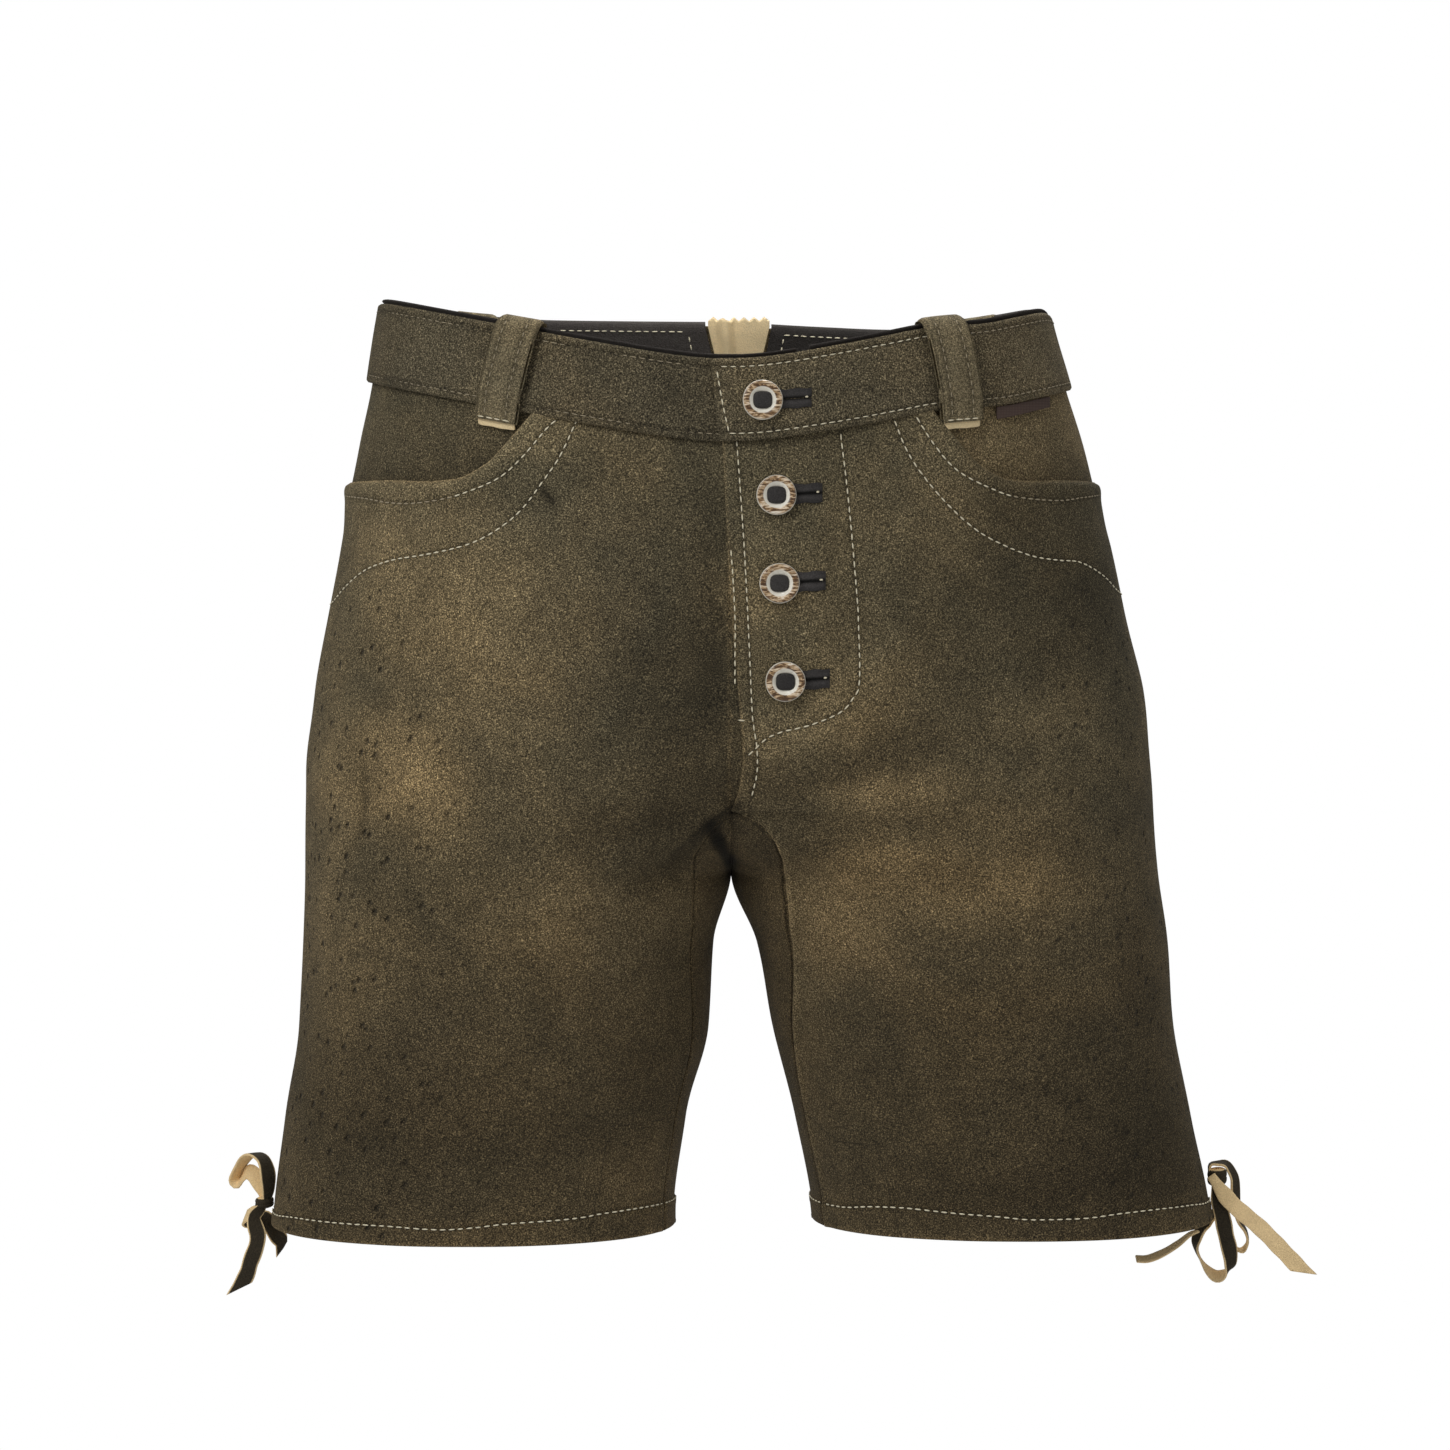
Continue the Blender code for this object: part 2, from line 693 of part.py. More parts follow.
def buttonhole(name, x, z, end, look):
    """A bound buttonhole: two leather lips with a slit between them."""
    lips = ((-1, 0.65), (-0.8, 1.1), (-0.35, 1.15), (0, 0.7), (0.35, 1.15), (0.8, 1.1), (1, 0.65))
    rows = []
    for k in range(6):
        here = x - 3 + (end - x + 3) * k / 5
        rise = 1 if 0 < k < 5 else 0.8
        row = []
        for side, off in lips:
            up = z + side * BUTTONHOLE_HEIGHT / 2 + (here - x) * 0.03
            base = front_off(here, up)
            row.append((place_x(here, up, base + off * rise), place_x(here, up, base + LIES_OFF)))
        rows.append(row)
    return wall(name, [rows], look)


def frame_on_front(x, z, off):
    """A placing whose Z points out of the front and whose Y points up it."""
    centre = place_x(x, z, off)
    out = (place_x(x, z, off + 10) - centre).normalized()
    right = Vector((0, 0, 1)).cross(-out).normalized() * -1
    up = out.cross(right)
    turn = Matrix((right, up, out)).transposed().to_4x4()
    return Matrix.Translation(centre) @ turn


def ring_button(name, frame, look):
    """A turned ring with a rounded rim and a bevelled eye."""
    profile = ((BUTTON_EYE, 0), (8.7, 0), (BUTTON_RADIUS, 0.9), (9.0, 2.4), (7.9, 3.1), (6.9, 2.8),
               (BUTTON_EYE, 1.7))
    segments = 18
    size = len(profile)
    corners, faces = [], []
    for k in range(segments):
        turn = 2 * math.pi * k / segments
        corners += [frame @ Vector((r * math.cos(turn), r * math.sin(turn), h)) for r, h in profile]
    for k in range(segments):
        for i in range(size):
            j, n = (i + 1) % size, (k + 1) % segments
            faces.append((k * size + i, k * size + j, n * size + j, n * size + i))
    if volume([c - frame.translation for c in corners], faces) < 0:
        faces = [tuple(reversed(ring)) for ring in faces]
    return new_object(name, corners, faces, look)


def button_bar(name, frame, look):
    """The leather strip that shows in the button's eye."""
    loops = []
    for height, shrink in ((0, 0.4), (0.5, 0), (1.9, 0), (2.5, 0.7)):
        w, h = 3.9 - shrink, 3.4 - shrink
        c = 1.2
        outline = ((w, h - c), (w - c, h), (c - w, h), (-w, h - c), (-w, c - h), (c - w, -h), (w - c, -h), (w, c - h))
        loops.append([frame @ Vector((x, y, height)) for x, y in outline])
    return swept(name, loops, look)


# ---------------------------------------------------------------- hem thongs
# A route's rows are the strap's middle, read from the knot's middle as (out from the leg, back, up),
# and then the direction across its flat side, in the same order. "cut" is how much further one edge
# runs than the other at the slanting end.

THONG_WIDTH = 8
THONG_LEATHER = 1.3
KNOTS = (
    # half, height, out, half_width, half_height
    (LEFT, -387.6, 5, 4.2, 2.3),
    (RIGHT, -375.1, 7.2, 4.7, 4.2),
)
THONGS = (
    ("thong_left_loop", LEFT, 0, (
        (-1.7, -2.5, 2.9, 0.85, -0.5, 0), (-2.4, -5, 7.7, 0.85, -0.5, 0),
        (-2.2, -6.5, 15.5, 0.85, -0.5, 0), (-0.2, -4, 21, 0.8, -0.6, 0), (4.1, 1, 23.2, 0.8, -0.6, 0),
        (8.5, 6, 21.5, 0.8, -0.6, 0), (12.3, 10, 16.9, 0.75, -0.6, -0.2),
        (14.3, 11, 11.6, 0.6, -0.6, -0.5), (12.8, 10, 9.2, 0.4, -0.5, -0.7),
        (8.9, 8, 11.6, 0.3, -0.4, -0.85), (5.1, 5, 10.1, 0.5, -0.3, -0.75), (2.2, 3, 6.8, 0.7, -0.2, -0.6),
        (0.7, 2.2, 3.4, 0.8, 0, -0.4))),
    ("thong_left_tail", LEFT, -11.5, (
        (1.7, -3, -2.9, -1, 0.3, 0), (4.6, -4.5, -6.3, -1, 0.4, 0.1), (4.1, -5.5, -10.6, -1, 0.2, 0),
        (2.8, -6, -15, -1, 0, 0), (3.5, -6.5, -20.5, -1, 0, 0), (6.3, -7, -28, -1, 0, -0.3),
        (8, -7, -33.8, -0.9, 0, -0.4), (11.8, -7, -41.1, -0.8, 0, -0.5))),
    ("thong_left_end", LEFT, -9, (
        (3.6, 2, -3.4, -0.2, 0, 1), (7.5, 4, -4.8, -0.1, 0.2, 1), (10.1, 8, -6.8, 0, 0.1, 1),
        (8.5, 12.5, -8.2, 0, 0, 1), (4.1, 13, -8.7, -0.1, 0, 1), (0.7, 12, -10.1, -0.4, 0.1, 0.9),
        (-2.7, 10, -14.5, -0.7, 0.2, 0.7), (-5.6, 8, -18.4, -0.8, 0.2, 0.5),
        (-8, 7, -20.8, -0.9, 0.1, 0.2), (-8.5, 7, -23.7, -0.95, 0, -0.3))),
    ("thong_right_loop", RIGHT, 0, (
        (-0.2, -3, -5.8, 1, 0, 0), (0.5, -6.5, -11.6, 1, 0, 0), (2.2, -8, -19.8, 1, 0, 0),
        (3.6, -8.5, -27.1, 1, 0, 0.1), (5.3, -9, -34.3, 0.95, 0.2, 0.1), (5.8, -9, -41.1, 0.8, 0.6, 0.15),
        (3.9, -8, -45.4, 0.4, 0.8, 0.5), (-0.5, -7, -47.6, 0, 0.8, 0.65), (-5.3, -6, -44, -0.1, 0.85, 0.5),
        (-8.7, -5.5, -38.7, -0.1, 0.95, 0.2), (-10.4, -5, -34.3, -0.1, 1, 0),
        (-10.1, -4, -30, -0.5, 0.9, 0), (-8.2, -2, -26.1, -0.5, 0.9, 0), (-4.3, 2, -23.4, -0.2, 1, 0),
        (0, 5.5, -18.4, -0.3, 0.95, 0), (1.4, 6, -12.6, -0.6, 0.7, 0), (0.7, 4, -6.8, -0.8, 0.5, 0))),
    ("thong_right_curl", RIGHT, 0, (
        (-3.4, 1, 5.4, 0, 1, 0), (-0.2, 1.5, 6.1, 0.1, 1, 0.1), (4.8, 2.8, 5.2, 0.4, 0.9, 0.1),
        (8.6, 4.6, -0.6, 0.5, 0.85, 0.1), (9.6, 6, -7.7, 0.6, 0.8, 0.1), (10.2, 7, -15.5, 0.5, 0.85, 0),
        (11.6, 7, -22.7, 0.3, 0.95, 0), (14.7, 6, -28, 0.15, 1, 0), (15.5, 5, -32.9, 0.1, 1, 0),
        (12.8, 4, -36.7, 0, 1, 0.1), (9.7, 3, -35.8, -0.1, 1, 0.1))),
    ("thong_right_tail", RIGHT, -10.3, (
        (2.9, -8.5, -7.7, -0.7, -0.1, -0.7), (8.5, -12, -13.5, -0.7, 0, -0.7),
        (19.3, -13.5, -22.5, -0.66, 0, -0.75), (30, -14, -33.3, -0.7, 0, -0.7),
        (40.6, -14, -44.5, -0.73, 0, -0.68))),
    ("thong_right_end", RIGHT, 0, (
        (-10.6, -12, -24.6, 0, 1, 0), (-14.5, -14, -25.9, 0, 1, 0.1), (-20.8, -16, -30.4, 0.1, 1, 0.2),
        (-27.5, -17, -34.3, 0.05, 1, 0.25), (-34.8, -17, -37.2, 0, 1, 0.25),
        (-40.6, -17, -37.2, 0, 1, 0.2))),
)


def knot_of(half):
    """The knot's middle, just off the side of the leg above the hem, and its half width and height."""
    height, out, half_width, half_height = next(row[1:] for row in KNOTS if row[0] == half)
    side = skin(half, 0, height)
    return Vector((side.x + half * out, 0, height)), half_width, half_height


def curve_through(points, spacing):
    """Points evenly along a smooth curve through the given ones."""
    dense = []
    for k in range(len(points) - 1):
        p0 = points[max(k - 1, 0)]
        p1, p2 = points[k], points[k + 1]
        p3 = points[min(k + 2, len(points) - 1)]
        for step in range(12):
            t = step / 12
            dense.append(0.5 * (2 * p1 + (p2 - p0) * t + (2 * p0 - 5 * p1 + 4 * p2 - p3) * t * t
                                + (3 * p1 - p0 - 3 * p2 + p3) * t ** 3))
    dense.append(points[-1])
    length = sum((b - a).length for a, b in zip(dense, dense[1:]))
    count = max(3, round(length / spacing))
    even, travelled, k = [dense[0]], 0.0, 0
    for step in range(1, count):
        want = length * step / count
        while travelled + (dense[k + 1] - dense[k]).length < want:
            travelled += (dense[k + 1] - dense[k]).length
            k += 1
        part = (want - travelled) / (dense[k + 1] - dense[k]).length
        even.append(dense[k].lerp(dense[k + 1], part))
    return even + [dense[-1]]


def thong(name, half, cut, route, look):
    """A flat strap along a route. It is narrow where it leaves the knot."""
    start = knot_of(half)[0]
    points = [start + Vector((half * out, back, up)) for out, back, up, *across in route]
    across = [Vector((half * out, back, up)) for *point, out, back, up in route]
    even = curve_through(points, 4.5)
    loops = []
    for k, point in enumerate(even):
        along = (even[min(k + 1, len(even) - 1)] - even[max(k - 1, 0)]).normalized()
        broad = across_at(points, across, point)
        broad = (broad - along * broad.dot(along)).normalized()
        thin = along.cross(broad)
        from_knot = min(k, len(even) - 1 - k) if name.endswith("loop") else k
        width = THONG_WIDTH * (0.55 + 0.45 * smooth(from_knot / 3))
        slant = along * cut / 2 if k == len(even) - 1 else Vector()
        a, b = broad * width / 2 + slant, thin * THONG_LEATHER / 2
        loops.append([point + a + b, point - a + b, point - a - b, point + a - b])
    return swept(name, loops, look)


def across_at(points, across, at):
    """The direction across the strap at the place on its route that is nearest."""
    best, found = 1e9, None
    for k in range(len(points) - 1):
        along = points[k + 1] - points[k]
        t = min(max((at - points[k]).dot(along) / along.length_squared, 0), 1)
        away = (points[k] + along * t - at).length
        if away < best:
            best, found = away, across[k].lerp(across[k + 1], t)
    return found


def knot(name, half, look):
    """The tied knot: a short rounded block of wound strap."""
    start, half_width, half_height = knot_of(half)
    loops = []
    for share, size in ((-1, 0.66), (-0.6, 0.92), (0, 1), (0.6, 0.92), (1, 0.66)):
        loop = []
        for k in range(10):
            turn = 2 * math.pi * k / 10
            wide = half_width * size * math.cos(turn)
            deep = 4.4 * size * math.sin(turn)
            loop.append(start + Vector((wide, deep, half_height * share)))
        loops.append(loop)
    return swept(name, loops, look)


# ---------------------------------------------------------------- assembly


def build():
    for left_over in list(bpy.data.objects):
        bpy.data.objects.remove(left_over, do_unlink=True)
    suede = look_of("suede", (0.075, 0.062, 0.035), 0.9)
    charcoal = look_of("charcoal facing", (0.02, 0.019, 0.018), 0.8)
    cream = look_of("cream leather", (0.62, 0.5, 0.29), 0.8)
    horn = look_of("stag horn", (0.45, 0.33, 0.2), 0.45)
    black = look_of("black leather", (0.012, 0.011, 0.011), 0.6)
    brown = look_of("brown tag", (0.09, 0.055, 0.04), 0.8)
    for side, half in HALVES:
        front_panel(f"front_{side}", half, suede)
        back_panel(f"back_{side}", half, suede)
        pocket_insert(f"pocket_{side}", half, suede)
        swept(f"band_{side}", around_band(half, False, BAND_PROFILE), suede)
        swept(f"facing_{side}", around_band(half, True, FACING_PROFILE), charcoal)
        knot(f"thong_{side}_knot", half, suede)
    back_gusset("back_gusset", cream)
    for name, face, top_x, foot_x in LOOPS:
        belt_loop(name, face, top_x, foot_x, suede)
    side_tag("side_tag", brown)
    for number, (x, z, end) in enumerate(BUTTONS, 1):
        buttonhole(f"buttonhole_{number}", x, z, end, black)
        frame = frame_on_front(x, z, front_off(x, z) + 1.5)
        ring_button(f"button_{number}", frame, horn)
        button_bar(f"button_bar_{number}", frame, black)
    for name, half, cut, route in THONGS:
        thong(name, half, cut, route, suede)


build()
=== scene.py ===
"""Looks for the short suede trousers: the leather pieces with their folds and sewing, the horn
buttons, the hem thongs, and the stage. Sizes in tables are millimetres and degrees; "left" and
"right" are as seen from the front."""

import math

import bmesh
import bpy
import numpy as np
from mathutils import Matrix, Vector


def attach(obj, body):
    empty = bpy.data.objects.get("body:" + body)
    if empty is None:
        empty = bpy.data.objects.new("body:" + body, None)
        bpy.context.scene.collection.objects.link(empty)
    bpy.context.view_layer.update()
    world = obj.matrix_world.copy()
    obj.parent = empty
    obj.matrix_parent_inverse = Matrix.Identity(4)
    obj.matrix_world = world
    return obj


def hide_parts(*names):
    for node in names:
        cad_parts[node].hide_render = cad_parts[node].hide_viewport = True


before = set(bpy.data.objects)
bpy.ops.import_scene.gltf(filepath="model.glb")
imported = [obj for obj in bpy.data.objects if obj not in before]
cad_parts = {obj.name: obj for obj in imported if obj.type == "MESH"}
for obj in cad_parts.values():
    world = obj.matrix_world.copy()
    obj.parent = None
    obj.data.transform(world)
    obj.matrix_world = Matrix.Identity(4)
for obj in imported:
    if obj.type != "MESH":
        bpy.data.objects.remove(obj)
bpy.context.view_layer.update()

# ---- camera

MM = 0.001
CAMERA_X, CAMERA_AWAY, LOOKS_AT = -0.0029, 2.3, -0.156
scene = bpy.context.scene


def aim(thing, at):
    toward = Vector(at) - thing.location
    thing.rotation_euler = toward.to_track_quat("-Z", "Y").to_euler()


lens = bpy.data.cameras.new("camera")
lens.sensor_width = 36
lens.lens = 118.97
lens.clip_end = 20
camera = bpy.data.objects.new("camera", lens)
camera.location = (CAMERA_X, -CAMERA_AWAY, 0)
aim(camera, (CAMERA_X, 0, LOOKS_AT))
scene.collection.objects.link(camera)
scene.camera = camera

# ---- form

LEFT, RIGHT = -1, 1
FRONT, BACK = 1, -1
SIDES = {LEFT: "left", RIGHT: "right"}
# How thick each leather is.
SUEDE, LINING_LEATHER, POCKET_LEATHER, BAND_LEATHER, GUSSET_LEATHER, LOOP_LEATHER = 2.0, 1.2, 1.6, 2.4, 1.3, 1.8
# Gaps beside the gusset and beside a seam's middle, and how far panel tops run up behind the band.
LIES_OFF, SEAM_SIDE, TUCK = 0.3, 0.05, 2.2
# The charted distance where no seam or edge is near.
FAR = 9.0
BODY = (
    # height, left, right, left_gap, right_gap, front, back
    (50, 165, 148, 0, 0, 95, 97), (30, 168, 152.5, 0, 0, 97, 100), (5, 172, 160, 0, 0, 99, 105),
    (-20, 177.5, 168, 0, 0, 101.5, 110), (-45, 182.5, 174.5, 0, 0, 104, 114.5), (-70, 187, 182, 0, 0, 106.5, 118),
    (-100, 192.5, 188.5, 0, 0, 108, 121), (-140, 199.5, 198.2, 0, 0, 107.5, 121.5),
    (-180, 204.2, 202, 0, 0, 103, 116), (-226, 204.8, 205.5, 0, 0, 96, 103), (-260, 206, 210, 8.6, 12.2, 90, 93),
    (-300, 208.5, 213.5, 11, 20, 83.5, 85), (-345, 215.4, 222.4, 22, 31, 76.5, 77),
    (-393, 221.4, 232, 27.5, 40, 71, 71), (-410, 222.4, 233.5, 27.5, 41, 70, 70),
)
FORK = ((50, 0), (-100, 0), (-120, 0.03), (-140, 0.12), (-165, 0.33), (-190, 0.6), (-210, 0.82), (-220, 0.96),
        (-226, 1), (-410, 1))
ROUNDNESS = 2.2
INSEAM = ((-190, 55, 55), (-196, 54.1, 57.8), (-204, 51.7, 56.2), (-212, 47.3, 52.2), (-220, 39.1, 45.3),
          (-226, 35.8, 42.8), (-233, 35.1, 42.6), (-240, 33.2, 40.9), (-250, 29.8, 37.3), (-270, 27, 33),
          (-300, 24, 26.5), (-345, 20, 20), (-410, 19.5, 20))
FRONT_FORK, FORK_TOP, FORK_BOTTOM = -190, -191.3, -226
HEM = {LEFT: -397, RIGHT: -394.5}
HEM_PROUD = 0.9
SLIT_TOP, SLIT_HEIGHT, SLIT_SIDE = -362, 32, 1.7
# The main folds, and then slighter creases and swells.
FOLDS = {
    # x0, z0, x1, z1, width, height
    FRONT: (
        (14, -172, 90, -156, 12, -2.8), (27, -186, 122, -180, 11, 1.6), (18, -200, 124, -196, 12, -2.8),
        (34, -222, 96, -206, 11, 2), (44, -238, 92, -226, 11, -1.6), (-8, -189, -78, -201, 11, -2.4),
        (-4, -188, -30, -209, 6, 1.6), (-16, -206, -50, -232, 8, -2.2), (-52, -178, -120, -150, 18, 1.5),
        (-150, -92, -60, -120, 14, 0.5), (-176, -150, -150, -280, 16, -0.6), (-118, -236, -40, -262, 16, 0.5),
        (-190, -330, -96, -300, 20, -0.5), (-80, -310, -60, -384, 14, 0.5), (-22, -250, -44, -330, 9, -0.6),
        (-10, -60, -22, -150, 10, 0.5), (-46, -46, -60, -128, 13, -0.4), (66, -96, 120, -84, 15, 0.4),
        (92, -132, 170, -118, 16, -0.5), (134, -214, 176, -300, 15, 0.5), (60, -262, 84, -350, 15, -0.5),
        (160, -330, 104, -372, 18, 0.5), (46, -252, 54, -320, 8, -0.5), (152, -60, 178, -130, 13, -0.4),
        (74, -30, 88, -70, 11, 0.3), (-172, -167, -172, -203, 3.2, -0.7),
    ),
    BACK: (
        (14, -186, 112, -172, 13, -2.6), (22, -204, 104, -200, 12, 1.8), (20, -218, 92, -222, 12, -2.2),
        (-12, -184, -104, -168, 13, -2.4), (-24, -206, -110, -204, 12, 1.8), (-18, -222, -86, -232, 12, -2.2),
        (-140, -80, -40, -112, 18, 0.6), (40, -60, 150, -92, 18, 0.6), (-176, -270, -90, -300, 18, -0.6),
        (70, -290, 176, -330, 18, -0.6), (-60, -330, -120, -384, 15, 0.5), (100, -350, 60, -386, 15, 0.5),
    ),
}
BAND_HEIGHT, BAND_OUTER = 38, 2.9
FACING_TOP, FACING_OUTER, FACING_ROLL = 40.2, -0.9, 2.2
BACK_GAP_TOP, BACK_GAP_BAND, BACK_GAP_PANEL, BACK_GAP_X = 15.5, 6.2, 5.6, 4
SIDE_DROP = 4
BACK_FOOT = ((0, 8.2, 4.2), (15, 7.4, 3.8), (30, 4.8, 1.6), (45, 1.2, -2.2), (60, -0.8, -5.5), (75, -1.2, -4),
             (90, -1.5, -1.5))
GUSSET_TIP, GUSSET_PROUD = -60, 5
FLY_EDGE = ((-20, -4.1), (-46, -2.8), (-92, -0.5), (-135, 3.2), (-165, 5.5), (-178, 4), (-190, 0.15))
FLY_LIFT, BAND_LIFT, FLY_FADE = 2.35, 3.3, 22
STAND_WIDTH, STAND_BOTTOM = 30, -178
BAND_FLY_TOP, BAND_FLY_BOTTOM = -9.6, -5.3
POCKET_EDGE = ((0, -40), (10, -39.2), (20, -38.3), (31, -37.6), (40, -37.8), (47, -36.5), (53, -29.5), (57, -18),
               (61, -4), (65, 12))
POCKET_TURN = {LEFT: 0, RIGHT: -3.5}
POCKET_LIFT, POCKET_FADE, POCKET_HIDDEN, POCKET_SINK = 2.35, 26, 13, 2.75
BUTTONS = ((14, -0.8, 36), (20.4, -43.8, 41.5), (21.8, -83.8, 43), (24.6, -128.5, 45))
BUTTONHOLE_HEIGHT, BINDING = 9, 0.5
LOOPS = (("loop_front_left", FRONT, -96.8, -106), ("loop_front_right", FRONT, 96.5, 104.2),
         ("loop_back_left", BACK, -126, -131), ("loop_back_right", BACK, 121, 127))
LOOP_WIDTH = 17.8


def smooth(t):
    t = np.clip(t, 0, 1)
    return t * t * (3 - 2 * t)


def hump(value, width):
    """1 where the value is 0, fading to 0 over about the width."""
    return np.exp(-((value / width) ** 2))


def read(rows, at, column=1):
    """A table's column at each height or angle, on a curve with no overshoot through its rows."""
    rows = np.array(sorted(rows), float)
    xs, ys = rows[:, 0], rows[:, column]
    slopes = np.diff(ys) / np.diff(xs)
    before, after = slopes[:-1], slopes[1:]
    same = before * after > 0
    middle = np.where(same, 2 * before * after / np.where(same, before + after, 1), 0)
    tangents = np.concatenate(([slopes[0]], middle, [slopes[-1]]))
    at = np.clip(np.asarray(at, float), xs[0], xs[-1])
    i = np.clip(np.searchsorted(xs, at, side="right") - 1, 0, len(xs) - 2)
    span = xs[i + 1] - xs[i]
    t = (at - xs[i]) / span
    return (
        ys[i] * (1 + 2 * t) * (1 - t) ** 2
        + ys[i + 1] * t * t * (3 - 2 * t)
        + tangents[i] * span * t * (1 - t) ** 2
        - tangents[i + 1] * span * t * t * (1 - t)
    )


def of_half(half, rows, at, left):
    """A table's column for the left half, or the next one for the right half."""
    return np.where(np.asarray(half) < 0, read(rows, at, left), read(rows, at, left + 1))


def section(half, z):
    """Centre and half width of one half's oval at a height."""
    width, gap = of_half(half, BODY, z, 1), of_half(half, BODY, z, 3)
    fork = read(FORK, z)
    parted = np.asarray(z) < FORK_BOTTOM
    centre = np.where(parted, (width + gap) / 2, width * fork / (1 + fork))
    reach = np.where(parted, (width - gap) / 2, width / (1 + fork))
    return centre, reach


def unit(vectors):
    return vectors / np.linalg.norm(vectors, axis=-1, keepdims=True)


def power(value, exponent):
    return np.sign(value) * np.abs(value) ** exponent


def skin(half, angle, z):
    """Points of the bare outline. The angle is 0 at the side, 90 at the front and -90 at the back.
    Past 90 it goes on round the leg, or over to the other half where the torso is one oval."""
    half, angle, z = np.broadcast_arrays(np.asarray(half, float), angle, z)
    over = (np.abs(angle) > 90) & (read(FORK, z) < 1e-6)
    half = np.where(over, -half, half)
    angle = np.where(over, np.sign(angle) * (180 - np.abs(angle)), angle)
    centre, reach = section(half, z)
    turn = np.radians(angle)
    depth = np.where(angle > 0, read(BODY, z, 5), read(BODY, z, 6))
    x = centre + reach * power(np.cos(turn), 2 / ROUNDNESS)
    y = -depth * power(np.sin(turn), 2 / ROUNDNESS)
    return np.stack((half * x, y, z), -1)


def angle_of_x(half, x, z, face=FRONT):
    """The angle at which the half's outline has this x."""
    half, x, z = np.broadcast_arrays(np.asarray(half, float), x, z)
    u = half * x
    centre, reach = section(half, z)
    near = np.degrees(np.arccos(power(np.clip((u - centre) / reach, -1, 1), ROUNDNESS / 2)))
    other = section(-half, z)[1]
    far = 180 - np.degrees(np.arccos(np.clip(-u / other, 0, 1) ** (ROUNDNESS / 2)))
    return face * np.where((u < 0) & (read(FORK, z) < 1e-6), far, near)


def side_angle(face, z):
    """Where the side seam's edge is: it opens into the slit above the hem."""
    away = SEAM_SIDE + (SLIT_SIDE - SEAM_SIDE) * smooth((SLIT_TOP - z) / SLIT_HEIGHT)
    depth = read(BODY, z, 5 if face == FRONT else 6)
    return face * np.degrees(np.arcsin((away / depth) ** (ROUNDNESS / 2)))


def lined(points, x0, z0, x1, z1):
    """Share along a line in front view, distance from it, and whether a point is above it."""
    x, z = points[..., 0], points[..., 2]
    across, rise = x1 - x0, z1 - z0
    t = ((x - x0) * across + (z - z0) * rise) / (across**2 + rise**2)
    held = np.clip(t, 0, 1)
    above = ((z - z0) * across - (x - x0) * rise) * np.sign(across) > 0
    return t, np.hypot(x - x0 - across * held, z - z0 - rise * held), above


def relief(points):
    """How far the folds, the slighter creases and the hand of the leather raise the outline."""
    x, y, z = points[..., 0], points[..., 1], points[..., 2]
    total = np.zeros(x.shape)
    for face, rows in FOLDS.items():
        here = (y < 0) == (face == FRONT)
        for *line, width, height in rows:
            t, off, _ = lined(points, *line)
            total += here * height * hump(off, width) * smooth((t + 0.15) / 0.4) * smooth((1.15 - t) / 0.5)
    cloth = smooth((-6 - z) / 50)
    wander = x + 0.35 * z + 9 * np.sin(z / 31)
    wavy = np.sin(wander / 8.6 + 1.3 * np.sin(z / 23 + 0.6)) * np.sin(z / 15.5 + 0.4 * np.sin(x / 19))
    rolling = np.sin(x / 24 + 2.1 * np.sin(z / 41)) * np.sin(z / 33 + 1.7 + 0.02 * y)
    return total + cloth * (0.22 * wavy + 0.3 * rolling)


def out_from(half, angle, z):
    """The outward direction of the bare outline."""
    around = skin(half, angle + 0.6, z) - skin(half, angle - 0.6, z)
    up = skin(half, angle, z + 1.0) - skin(half, angle, z - 1.0)
    return unit(np.cross(up, around) * np.asarray(half, float)[..., None])


def place(half, angle, z, off=0.0):
    """Points at an angle and height, moved out from the outline."""
    angle, z, off = np.broadcast_arrays(np.asarray(angle, float), z, off)
    base = skin(half, angle, z)
    return base + out_from(half, angle, z) * (off + relief(base))[..., None]


def place_x(x, z, off=0.0, face=FRONT):
    """Points of the front or back at an x and height, moved out from the outline."""
    x, z, off = np.broadcast_arrays(np.asarray(x, float), np.asarray(z, float), off)
    half = np.where(x >= 0, RIGHT, LEFT)
    return place(half, angle_of_x(half, x, z, face), z, off)


def band_foot(half, angle):
    """Height of the waistband's lower edge: it dips in front, and a little behind."""
    angle = np.asarray(angle, float)
    behind = np.where(angle >= -90, -angle, 180 + angle)
    across = np.cos(np.radians(angle))
    front = -24 + 32 * (across * across + 0.0144) ** 0.45
    front = np.where(np.asarray(half) > 0, front - SIDE_DROP * smooth((across - 0.5) / 0.3), front)
    return np.where(angle < 0, of_half(half, BACK_FOOT, behind, 1), front)


def pocket_height(half, angle):
    return read(POCKET_EDGE, np.asarray(angle) * (1 - POCKET_TURN[half] / 60))


def from_line(points, line, normals=None):
    """Distance of each point from a line of points and, given normals, which side of it the point is on."""
    best, side = np.full(points.shape[:-1], 1e9), np.ones(points.shape[:-1])
    for start, end in zip(line[:-1], line[1:]):
        along, to = end - start, points - start
        t = np.clip(to @ along / max(along @ along, 1e-9), 0, 1)
        far = np.linalg.norm(to - t[..., None] * along, axis=-1)
        if normals is not None:
            turn = np.sum(np.cross(along, to) * normals, axis=-1)
            side = np.where(far < best, np.where(turn < 0, -1, 1), side)
        best = np.minimum(best, far)
    return best, side


def pocket_distance(half, angle, z):
    """How far a point of the front lies from the pocket's edge."""
    edge = np.arange(0, 67, 2.0)
    height = pocket_height(half, edge)
    line = skin(half, edge, height)[height <= 6]
    return from_line(skin(half, angle, z), line)[0]


